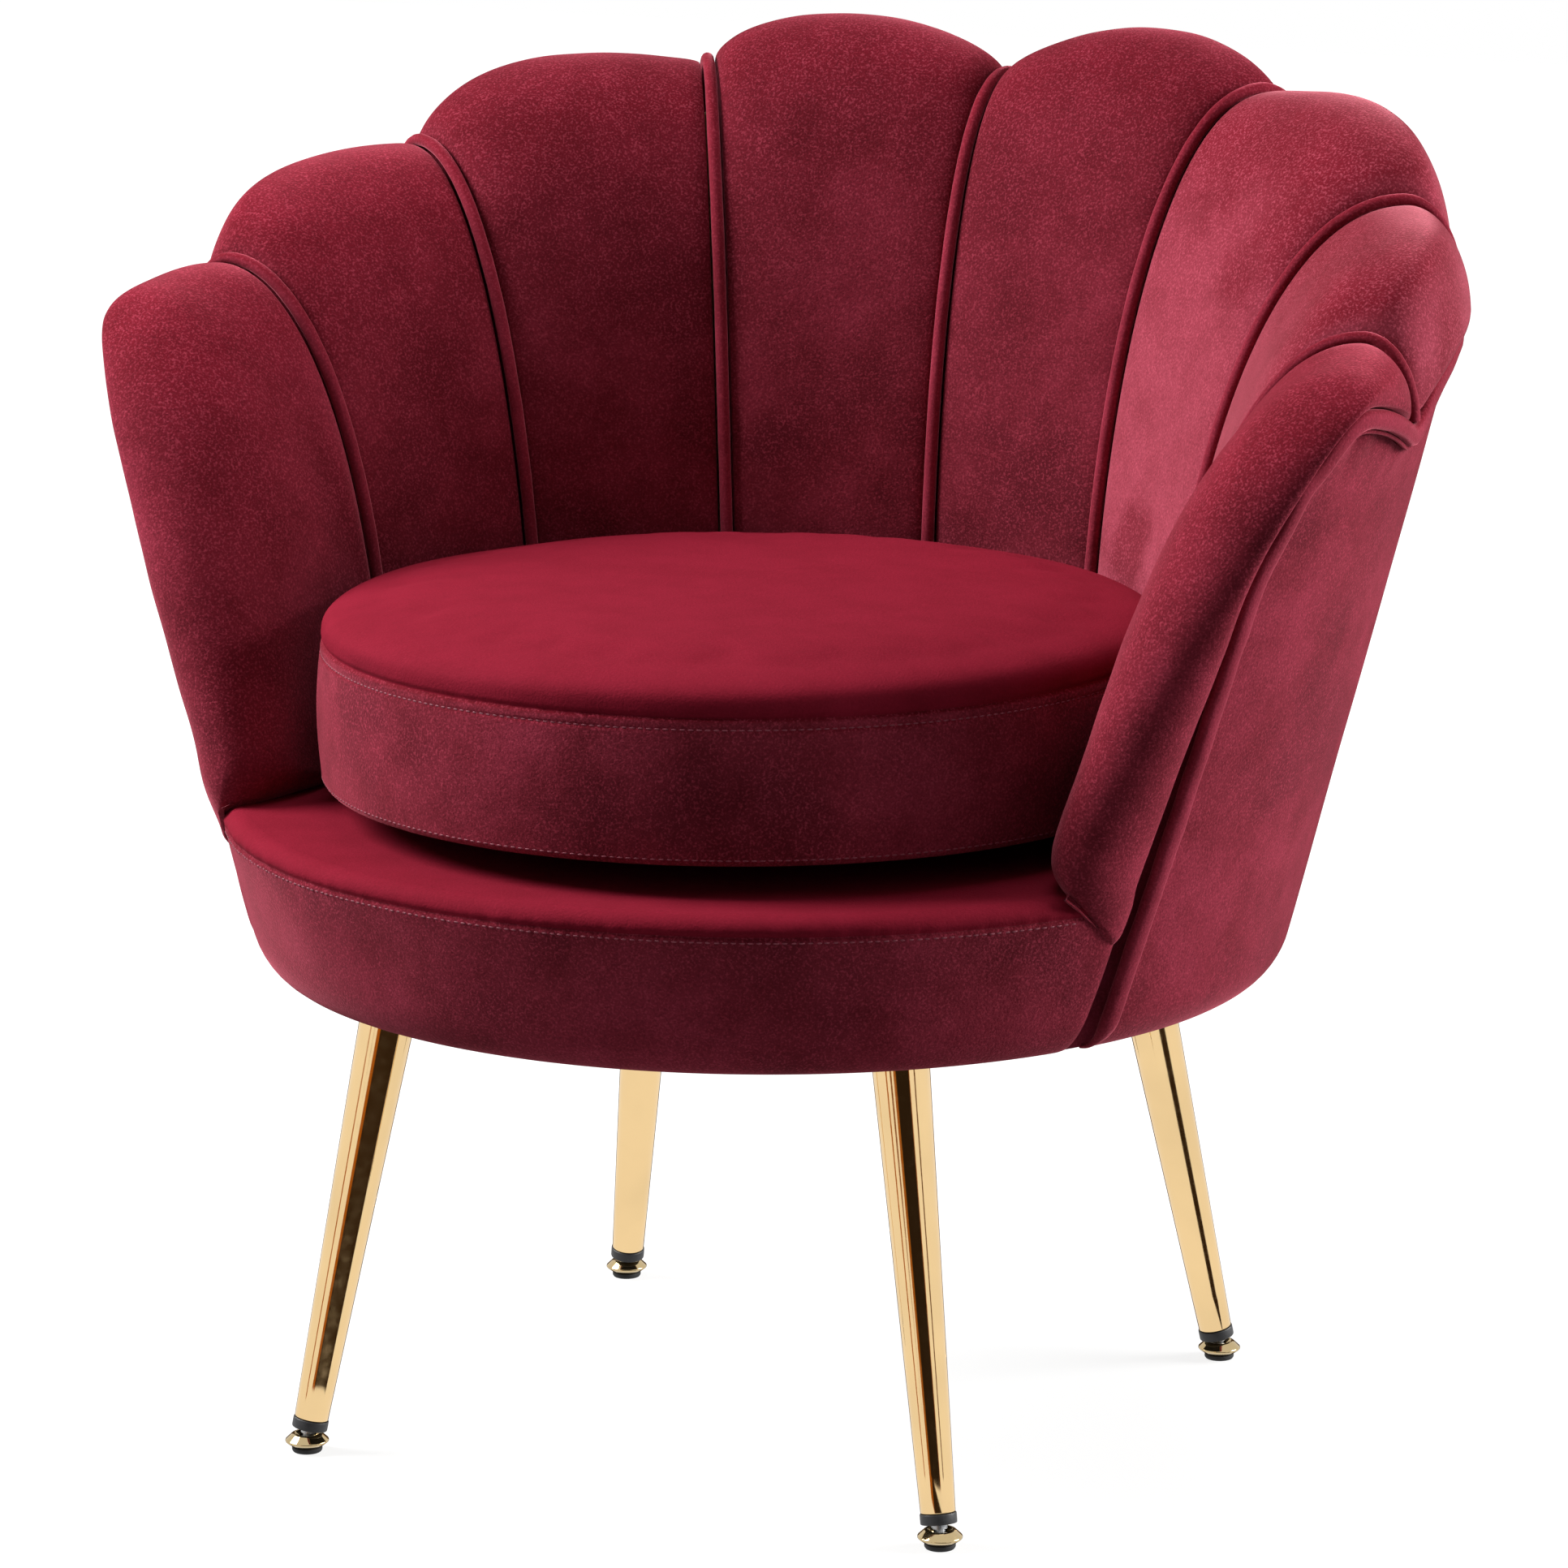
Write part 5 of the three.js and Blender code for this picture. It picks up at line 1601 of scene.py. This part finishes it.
class CHAIR_OT_cushion(bpy.types.Operator):
    """Builds the loose round cushion: two rounds of velvet and a boxing, swelled by its filling"""

    bl_idname = "chair.cushion"
    bl_label = "Loose cushion"
    steps = 160
    pinned_seam, pinned_belly = 9, 1.5  # how far from a seam and above the deck the cloth is held
    rumple_height, rumple_width, rumple_seed = 0.9, 90, 51
    plain_share = 0.85  # of the radius, inside which nothing is sewn
    seam_width, pucker_depth = 1.4, 0.45
    row_dent, row_wave, row_width = 0.5, 0.6, 1.1  # of the row of stitches under the upper seam
    top_margin = 0.4  # how far the top's velvet comes over the upper seam

    def near_seam(self, flat, z):
        return min(math.hypot(flat - CUSHION_RADIUS, z - seam) for seam in (SEAM_LOW, SEAM_HIGH))

    def sewn_in(self, piece, middle, sizes):
        """Sinks the seams and the row of stitches into the cushion's side."""
        depth, inset = sizes.seam_depth / MM, sizes.stitch_inset / MM
        for vertex in piece.data.vertices:
            out = Vector((vertex.co.x, vertex.co.y - middle.y, 0)) / MM
            flat, z = out.length, vertex.co.z / MM
            if flat < CUSHION_RADIUS * self.plain_share:
                continue
            along = atan2(out.y, out.x) * CUSHION_RADIUS
            near = self.near_seam(flat, z)
            dent = depth * bell(near, self.seam_width) - pucker(along, z, near, self.pucker_depth)
            if flat > CUSHION_RADIUS - 1:
                wave = 1 + self.row_wave * cos(2 * pi * along / SEAM_PITCH)
                dent += self.row_dent * wave * bell(abs(z - SEAM_HIGH + inset), self.row_width)
            vertex.co -= out.normalized() * dent * MM

    def execute(self, context):
        sizes = context.scene.chair_cushion
        place = Matrix.Translation((0, BOWL_Y, 0))
        piece = turned("cushion_velvet", cushion_profile(), self.steps, place)
        middle = Vector((0, BOWL_Y, 0)) * MM
        pinned = {}
        for vertex in piece.data.vertices:
            z = vertex.co.z / MM
            near = self.near_seam((vertex.co - middle).xy.length / MM, z)
            if near < self.pinned_seam or z < DECK_HEIGHT + self.pinned_belly:
                pinned[vertex.index] = 1.0
        swell(piece, pinned, sizes.swell_cap, sizes.pressure)
        for vertex in piece.data.vertices:
            point = vertex.co / MM
            if point.z > SEAM_LOW:
                rise = self.rumple_height * rumple(point, self.rumple_width, self.rumple_seed)
                vertex.co.z += rise * MM
        subdivide(piece)
        self.sewn_in(piece, middle, sizes)
        dress(piece, "velvet_wine", "velvet", "cushion", "cushion_cover")
        face_with(piece, "velvet_wine_flat", lambda spot: spot.z > SEAM_HIGH - self.top_margin)
        return {"FINISHED"}


def stitch_tree():
    """A node tree that lays stitches along a line. Each is one thread's hump, half sunk."""
    tree = bpy.data.node_groups.new("stitch_row", "GeometryNodeTree")
    tree.interface.new_socket("Line", in_out="INPUT", socket_type="NodeSocketGeometry")
    for name in ("Pitch", "Length", "Thread radius"):
        tree.interface.new_socket(name, in_out="INPUT", socket_type="NodeSocketFloat")
    tree.interface.new_socket("Thread", in_out="INPUT", socket_type="NodeSocketMaterial")
    tree.interface.new_socket("Stitches", in_out="OUTPUT", socket_type="NodeSocketGeometry")
    given = tree.nodes.new("NodeGroupInput").outputs
    line = add_node(tree, "GeometryNodeMeshToCurve", {"Mesh": given["Line"]}).outputs["Curve"]
    inputs = {"Curve": line, "Length": given["Pitch"]}
    even = add_node(tree, "GeometryNodeResampleCurve", inputs, mode="LENGTH")
    tangent = add_node(tree, "GeometryNodeInputTangent").outputs["Tangent"]
    way = add_node(tree, "FunctionNodeAlignRotationToVector", {"Vector": tangent}, axis="Z")
    half = math_of(tree, "MULTIPLY", given["Length"], 0.5)
    radius = given["Thread radius"]
    size = add_node(tree, "ShaderNodeCombineXYZ", {"X": radius, "Y": radius, "Z": half})
    bead = add_node(tree, "GeometryNodeMeshIcoSphere", {"Radius": 1, "Subdivisions": 2})
    inputs = {"Geometry": bead.outputs["Mesh"], "Scale": size.outputs["Vector"]}
    hump = add_node(tree, "GeometryNodeTransform", inputs)
    inputs = {"Points": even.outputs["Curve"], "Instance": hump.outputs["Geometry"]}
    inputs["Rotation"] = way.outputs["Rotation"]
    row = add_node(tree, "GeometryNodeInstanceOnPoints", inputs)
    real = add_node(tree, "GeometryNodeRealizeInstances", {"Geometry": row.outputs["Instances"]})
    smooth = add_node(tree, "GeometryNodeSetShadeSmooth", {"Geometry": real.outputs["Geometry"]})
    inputs = {"Geometry": smooth.outputs["Geometry"], "Material": given["Thread"]}
    dyed = add_node(tree, "GeometryNodeSetMaterial", inputs)
    add_node(tree, "NodeGroupOutput", {"Stitches": dyed.outputs["Geometry"]})
    return tree


STITCH_SINK = 0.15


def line_on(piece, rays, closed):
    """A line where rays, each a start and a way, meet a piece, sunk a little into it."""
    corners = [vertex.co.copy() for vertex in piece.data.vertices]
    surface = BVHTree.FromPolygons(corners, [list(face.vertices) for face in piece.data.polygons])
    bm = bmesh.new()
    made = []
    for start, way in rays:
        spot, _, _, _ = surface.ray_cast(start * MM, way)
        if spot is not None:
            made.append(bm.verts.new(spot / MM + way.normalized() * STITCH_SINK))
    for near, far in zip(made, made[1:] + made[:1] if closed else made[1:]):
        bm.edges.new((near, far))
    return bm


class CHAIR_OT_stitches(bpy.types.Operator):
    """Sews the rows of stitches beside the seams of the cushion and the deck"""

    bl_idname = "chair.stitches"
    bl_label = "Stitches"
    steps = 480
    seam_clear = 3  # from the lower seam and the deck's seam to their rows
    cast_cushion, cast_drum = 40, 60  # how far outside the rays start
    drum_ends = 32  # from the channel to the drum's row

    def sew(self, name, bm, body, sizes):
        piece = finish_mesh(name, bm)
        modifier = piece.modifiers.new("stitches", "NODES")
        tree = bpy.data.node_groups.get("stitch_row") or stitch_tree()
        modifier.node_group = tree
        inputs = {
            "Pitch": sizes.stitch_pitch,
            "Length": sizes.stitch_length,
            "Thread radius": sizes.stitch_radius,
            "Thread": finish_of("sewing_thread"),
        }
        for item in tree.interface.items_tree:
            if item.in_out == "INPUT" and item.name in inputs:
                modifier[item.identifier] = inputs[item.name]
        apply_modifiers(piece)
        dress(piece, "sewing_thread", "velvet_cord", body)

    def execute(self, context):
        sizes = context.scene.chair_trim
        cushion = bpy.data.objects["cushion_velvet"]
        inset = context.scene.chair_cushion.stitch_inset / MM
        for end, z in (("high", SEAM_HIGH - inset), ("low", SEAM_LOW + self.seam_clear)):
            rays = []
            for i in range(self.steps):
                out = unit_out(i / self.steps * 2 * pi)
                start = Vector((0, BOWL_Y, z)) + out * (CUSHION_RADIUS + self.cast_cushion)
                rays.append((start, -out))
            self.sew(f"cushion_stitches_{end}", line_on(cushion, rays, True), "cushion", sizes)
        z = DECK_HEIGHT - sizes.seam_drop / MM - self.seam_clear
        edge = cover_turn(z, CHANNEL_WIDTH + self.drum_ends)
        rays = []
        for i in range(self.steps):
            turn = lerp(edge, 2 * pi - edge, i / (self.steps - 1))
            start = shell_point(turn, z, -self.cast_drum)
            rays.append((start, Vector((0, DRUM_Y, z)) - start))
        panel = bpy.data.objects["drum_front_panel"]
        self.sew("drum_stitches", line_on(panel, rays, False), "chair", sizes)
        return {"FINISHED"}


def leg_line(name):
    """A leg's foot point on the floor, its top and the line up it, in millimetres."""
    side, behind, shell, places = LEGS[name]
    ends = []
    for inset, turn, z in places:
        reach = shell - inset
        ends.append(Vector((side * reach * sin(turn), DRUM_Y + behind * reach * cos(turn), z)))
    foot, top = ends
    return foot, top, (top - foot).normalized()


def leg_place(name):
    foot, _, axis = leg_line(name)
    turn = Vector((0, 0, 1)).rotation_difference(axis).to_matrix().to_4x4()
    return Matrix.Translation(foot) @ turn


class CHAIR_OT_legs(bpy.types.Operator):
    """Builds the four tapered legs and their collars"""

    bl_idname = "chair.legs"
    bl_label = "Legs and collars"
    steps = 64
    parts = 12
    beyond = 12  # how far the tube is made past the base, which it is then cut level under
    clear = 0.1
    edge = ((-1.4, 0), (-0.4, 0), (-0.1, 0.15), (0, 0.6))  # round its foot, from radius and bottom
    collar_bore, collar_round = 3.5, 0.7

    def leg(self, name):
        foot, top, _ = leg_line(name)
        length = (top - foot).length
        bottom = COLLAR_BOTTOM + COLLAR_HEIGHT + GAP
        end = length + self.beyond
        profile = [(0, bottom)]
        profile += [(LEG_FOOT_RADIUS + out, bottom + rise) for out, rise in self.edge]
        for i in range(1, self.parts + 1):
            height = lerp(bottom, end, i / self.parts)
            share = (height - bottom) / (length - bottom)
            profile.append((lerp(LEG_FOOT_RADIUS, LEG_TOP_RADIUS, share), height))
        profile.append((0, end))
        piece = turned(f"gold_leg_{name}", profile, self.steps, leg_place(name))
        bm = bmesh.new()
        bm.from_mesh(piece.data)
        geometry = bm.verts[:] + bm.edges[:] + bm.faces[:]
        level = {"plane_co": Vector((0, 0, FRAME_BOTTOM - self.clear)) * MM, "plane_no": (0, 0, 1)}
        cut = bmesh.ops.bisect_plane(bm, geom=geometry, **level, clear_outer=True)
        rim = [e for e in cut["geom_cut"] if isinstance(e, bmesh.types.BMEdge)]
        bmesh.ops.contextual_create(bm, geom=rim)
        bmesh.ops.recalc_face_normals(bm, faces=bm.faces)
        bm.to_mesh(piece.data)
        bm.free()
        dress(piece, "plated_gold", "gold", "chair", f"leg_{name}")

    def collar(self, name):
        bottom, top = COLLAR_BOTTOM, COLLAR_BOTTOM + COLLAR_HEIGHT
        bore = self.collar_bore
        profile = [(bore, bottom), (COLLAR_RADIUS, bottom), (COLLAR_RADIUS, top), (bore, top)]
        profile = rounded(profile, self.collar_round) + profile[:1]
        piece = turned(f"black_collar_{name}", profile, self.steps, leg_place(name))
        dress(piece, "moulded_nylon", "black_plastic", "chair", f"leg_collar_{name}")

    def execute(self, context):
        for name in LEGS:
            self.leg(name)
            self.collar(name)
        return {"FINISHED"}


class CHAIR_OT_levelling_feet(bpy.types.Operator):
    """Builds the four levelling feet: screw, glide disc and pad"""

    bl_idname = "chair.levelling_feet"
    bl_label = "Levelling feet"
    steps = 48
    ball_turns = range(-75, 30, 15)
    # Radius and height, with the ball's socket in the middle
    disc = (
        (3.9, 3.4), (8.8, 3.4), (12.6, 6.2), (12.6, 7.2),
        (8.9, 10.7), (8.3, 11), (7.2, 11), (3.9, 6.4),
    )
    disc_round = 0.35
    pad = ((0, 0), (8, 0), (8.8, 1.2), (8.8, 3.1), (3.9, 3.1), (3.9, 2.5), (0, 2.5))
    pad_round = 0.5

    def screw(self, name):
        shoulder = COLLAR_BOTTOM - GAP
        top = shoulder + SCREW_LENGTH
        profile = [(0, BALL_HEIGHT - BALL_RADIUS)]
        for turn in map(radians, self.ball_turns):
            profile.append((BALL_RADIUS * cos(turn), BALL_HEIGHT + BALL_RADIUS * sin(turn)))
        for height in (shoulder - SHOULDER_HEIGHT, shoulder):
            profile += [(SCREW_RADIUS, height), (SHOULDER_RADIUS, height)]
        profile[-2:] = profile[:-3:-1]
        profile += [(SCREW_RADIUS, top), (0, top)]
        piece = turned(f"steel_screw_{name}", profile, self.steps, leg_place(name))
        dress(piece, "zinc_plated_steel", "steel", f"screw_{name}", f"foot_stem_{name}")

    def glide(self, name):
        foot, _, axis = leg_line(name)
        under = foot + axis * (BALL_HEIGHT / axis.z)
        level = Matrix.Translation((under.x, under.y, 0))
        disc = [*rounded(self.disc, self.disc_round), self.disc[0]]
        piece = turned(f"bronze_disc_{name}", disc, self.steps, level)
        dress(piece, "zinc_bronze", "gold", f"glide_{name}", f"foot_disc_{name}")
        piece = turned(f"rubber_pad_{name}", rounded(self.pad, self.pad_round), self.steps, level)
        dress(piece, "moulded_rubber", "black_rubber", f"glide_{name}", f"foot_pad_{name}")

    def execute(self, context):
        for name in LEGS:
            self.screw(name)
            self.glide(name)
        return {"FINISHED"}


CARRIED_FINISHES = {
    "back_board": "birch_plywood",
    "front_board": "birch_plywood",
    "seat_ring": "birch_plywood",
    "base_board": "birch_plywood",
    "leg_block": "birch_plywood",
    "leg_nut": "zinc_plated_steel",
    "webbing": "webbing_tape",
    "base_lining": "dust_lining",
    "deck_foam": "upholstery_foam",
    "cushion_foam": "upholstery_foam",
    "cushion_zip": "moulded_nylon",
}


class CHAIR_OT_inner_frame(bpy.types.Operator):
    """Gives the boards, foam, webbing and lining inside the chair their finishes"""

    bl_idname = "chair.inner_frame"
    bl_label = "Inner frame"

    def execute(self, context):
        for node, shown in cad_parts.items():
            finishes = [
                finish for start, finish in CARRIED_FINISHES.items() if node.startswith(start)
            ]
            if finishes:
                for slot in shown.material_slots:
                    slot.material = finish_of(finishes[0])
        return {"FINISHED"}


def add_lamp(name, place, target, size, power):
    lamp = bpy.data.lights.new(name, "AREA")
    lamp.shape = "DISK"
    lamp.size = size
    lamp.energy = power
    made = bpy.data.objects.new(name, lamp)
    made.location = place
    made.rotation_euler = (target - place).to_track_quat("-Z", "Y").to_euler()
    bpy.context.scene.collection.objects.link(made)


# The dark gaps round the studio that the legs mirror: from and to a turn from the camera, from
# and to a rise, the slope that the rise gains with the turn, all in degrees, the softness of
# the sides and the shade
STUDIO_GAPS = (
    (-32, -16, -17, -5.5, 0.19, 2, "#a8601c"),
    (-19, 58, -16, -6, 0.19, 3, "#33261a"),
    (-27, 30, -3, 12, 0, 2, "#a06426"),
    (-22, 27, -3, 12, 0, 2.5, "#2b2118"),
    (-66, -61, -10, -4, 0, 1, "#b06a24"),
    (-47, -41, -4, 3, 0, 1.5, "#8a5420"),
    (50, 54, -1, 10, 0, 1.5, "#6b4a24"),
    (158, 190, -40, 20, 0, 4, "#5a452c"),
)
WARM_WHITE = (1, 0.98, 0.97, 1)
BEHIND = 90  # a gap that starts past this turn lies on both sides
GAP_SOFTNESS = 1.2  # of a gap's upper and lower ends
# Name, turn from the camera and rise in degrees, distance and size
LAMPS = (
    ("top_lamp", 150, 84, 2.8, 2.0),
    ("left_lamp", -97, 37, 3.0, 1.7),
    ("right_lamp", 93, 16, 3.0, 1.7),
)


def way_to(turn, rise):
    """The unit way out at a turn from straight ahead and a rise."""
    return Vector((sin(turn) * cos(rise), -cos(turn) * cos(rise), sin(rise)))


class CHAIR_OT_studio(bpy.types.Operator):
    """Builds the floor, the lamps, the white surround and the camera"""

    bl_idname = "chair.studio"
    bl_label = "Studio"
    # The photo's camera, found by fitting it to points of the chair
    roll = radians(0.095)
    lens = {"sensor_width": 36, "lens": 160.336, "shift_x": -0.01656, "shift_y": -0.01708}
    clip = {"clip_start": 0.1, "clip_end": 50}
    looked_at = (0, 0.0285, 0.38057)
    lit_at = (0, 0, 0.5)
    paper_white = ((0.6, 2.2), (0.84, 1.0))  # from metres off the middle to the paper's own light

    def camera(self, sizes):
        turn, roll = sizes.azimuth, self.roll
        back = way_to(turn, sizes.elevation)
        right = Vector((cos(turn), sin(turn), 0))
        up = back.cross(right)
        right, up = cos(roll) * right + sin(roll) * up, cos(roll) * up - sin(roll) * right
        data = bpy.data.cameras.new("camera")
        for name, value in {**self.lens, **self.clip}.items():
            setattr(data, name, value)
        made = bpy.data.objects.new("camera", data)
        turned_axes = Matrix((right, up, back)).transposed().to_4x4()
        place = Vector(self.looked_at) + back * sizes.distance
        made.matrix_world = Matrix.Translation(place) @ turned_axes
        bpy.context.scene.collection.objects.link(made)
        bpy.context.scene.camera = made

    def floor(self, width):
        bm = bmesh.new()
        bmesh.ops.create_grid(bm, x_segments=8, y_segments=8, size=width / 2 / MM)
        piece = finish_mesh("studio_floor", bm)
        piece.visible_glossy = False
        # Seamless white paper: matt, shown white to the camera, and still dimmed by a shadow
        inputs = {"Roughness": 0.9, "Base Color": linear("#747474")}
        material, tree, shader = new_material("studio_paper", inputs)
        path = add_node(tree, "ShaderNodeLightPath")
        away = vector_math(tree, "LENGTH", place_of(tree))
        seen = path.outputs["Is Camera Ray"]
        for kind in ("Is Glossy Ray", "Is Transmission Ray"):
            seen = math_of(tree, "MAXIMUM", seen, path.outputs[kind])
        glow = math_of(tree, "MULTIPLY", seen, range_of(tree, away, *self.paper_white))
        tree.links.new(glow, shader.inputs["Emission Strength"])
        shader.inputs["Emission Color"].default_value = WHITE
        piece.data.materials.append(material)

    def surround(self, sizes):
        """White all round, with the dark gaps of a studio that polished metal shows as stripes."""
        world = bpy.data.worlds.new("studio")
        bpy.context.scene.world = world
        world.use_nodes = True
        tree = world.node_tree
        tree.nodes.clear()
        where = add_node(tree, "ShaderNodeTexCoord").outputs["Generated"]
        path = add_node(tree, "ShaderNodeLightPath").outputs

        def degrees_of(kind, *values):
            return math_of(tree, "DEGREES", math_of(tree, kind, *values))

        def within(value, low, high, soft):
            into, away = (
                range_of(tree, value, given, wanted, interpolation_type="SMOOTHSTEP")
                for given, wanted in (((low - soft, low), (0, 1)), ((high, high + soft), (1, 0)))
            )
            return math_of(tree, "MULTIPLY", into, away)

        turn = sizes.azimuth
        ways = (sin(turn), -cos(turn), 0), (cos(turn), sin(turn), 0), (0, 0, 1)
        ahead, aside, upward = (vector_math(tree, "DOT_PRODUCT", where, way) for way in ways)
        across = degrees_of("ARCTAN2", aside, ahead)
        rise = degrees_of("ARCSINE", upward)
        color = WHITE
        for low, high, bottom, top, slope, soft, shade in STUDIO_GAPS:
            level = math_of(tree, "ADD", rise, math_of(tree, "MULTIPLY", across, slope))
            value = math_of(tree, "ABSOLUTE", across) if low > BEHIND else across
            sides = within(value, low, high, soft)
            ends = within(level, bottom, top, GAP_SOFTNESS)
            color = mix_of(tree, math_of(tree, "MULTIPLY", sides, ends), color, linear(shade))
        glossy, seen, fill = (
            add_node(tree, "ShaderNodeBackground", {"Color": tone, "Strength": power}).outputs[0]
            for tone, power in ((color, 1.0), (WHITE, 1.0), (WARM_WHITE, sizes.fill))
        )
        lit = add_node(tree, "ShaderNodeMixShader", {0: path["Is Glossy Ray"], 1: fill, 2: glossy})
        clear = math_of(tree, "MAXIMUM", path["Is Camera Ray"], path["Is Transmission Ray"])
        both = add_node(tree, "ShaderNodeMixShader", {0: clear, 1: lit.outputs[0], 2: seen})
        add_node(tree, "ShaderNodeOutputWorld", {"Surface": both.outputs[0]})

    def execute(self, context):
        sizes = context.scene.chair_studio
        self.camera(sizes)
        self.floor(sizes.floor_width)
        self.surround(sizes)
        powers = (sizes.top_power, sizes.left_power, sizes.right_power)
        target = Vector(self.lit_at)
        for (name, turn, rise, distance, size), power in zip(LAMPS, powers):
            way = way_to(radians(turn) + sizes.azimuth, radians(rise))
            add_lamp(name, target + way * distance, target, size, power)
        context.scene.view_settings.view_transform = "Standard"
        return {"FINISHED"}


class CHAIR_PT_panel(bpy.types.Panel):
    bl_idname = "CHAIR_PT_panel"
    bl_label = "Scallop back chair"
    bl_space_type = "VIEW_3D"
    bl_region_type = "UI"
    bl_category = "Chair"

    def draw(self, context):
        layout = self.layout
        for group in GROUPS:
            box = layout.box()
            for name in GROUPS[group].__annotations__:
                box.prop(getattr(context.scene, group), name)
        for operator in OPERATORS:
            layout.operator(operator.bl_idname)


GROUPS = {
    "chair_pads": PetalPadSizes,
    "chair_trim": TrimSizes,
    "chair_cushion": CushionSizes,
    "chair_colors": ChairColors,
    "chair_studio": StudioSizes,
}
OPERATORS = (
    CHAIR_OT_studio,
    CHAIR_OT_inner_frame,
    CHAIR_OT_petal_pads,
    CHAIR_OT_pipings,
    CHAIR_OT_outside_cover,
    CHAIR_OT_outside_welt,
    CHAIR_OT_drum_front,
    CHAIR_OT_cushion,
    CHAIR_OT_stitches,
    CHAIR_OT_legs,
    CHAIR_OT_levelling_feet,
)


def register():
    for made in (*GROUPS.values(), *OPERATORS, CHAIR_PT_panel):
        bpy.utils.register_class(made)
    for name, group in GROUPS.items():
        setattr(bpy.types.Scene, name, PointerProperty(type=group))


def unregister():
    for name in GROUPS:
        delattr(bpy.types.Scene, name)
    for made in reversed((*GROUPS.values(), *OPERATORS, CHAIR_PT_panel)):
        bpy.utils.unregister_class(made)


def main():
    register()
    for operator in OPERATORS:
        _, name = operator.bl_idname.split(".")
        getattr(bpy.ops.chair, name)()


if __name__ == "__main__":
    main()
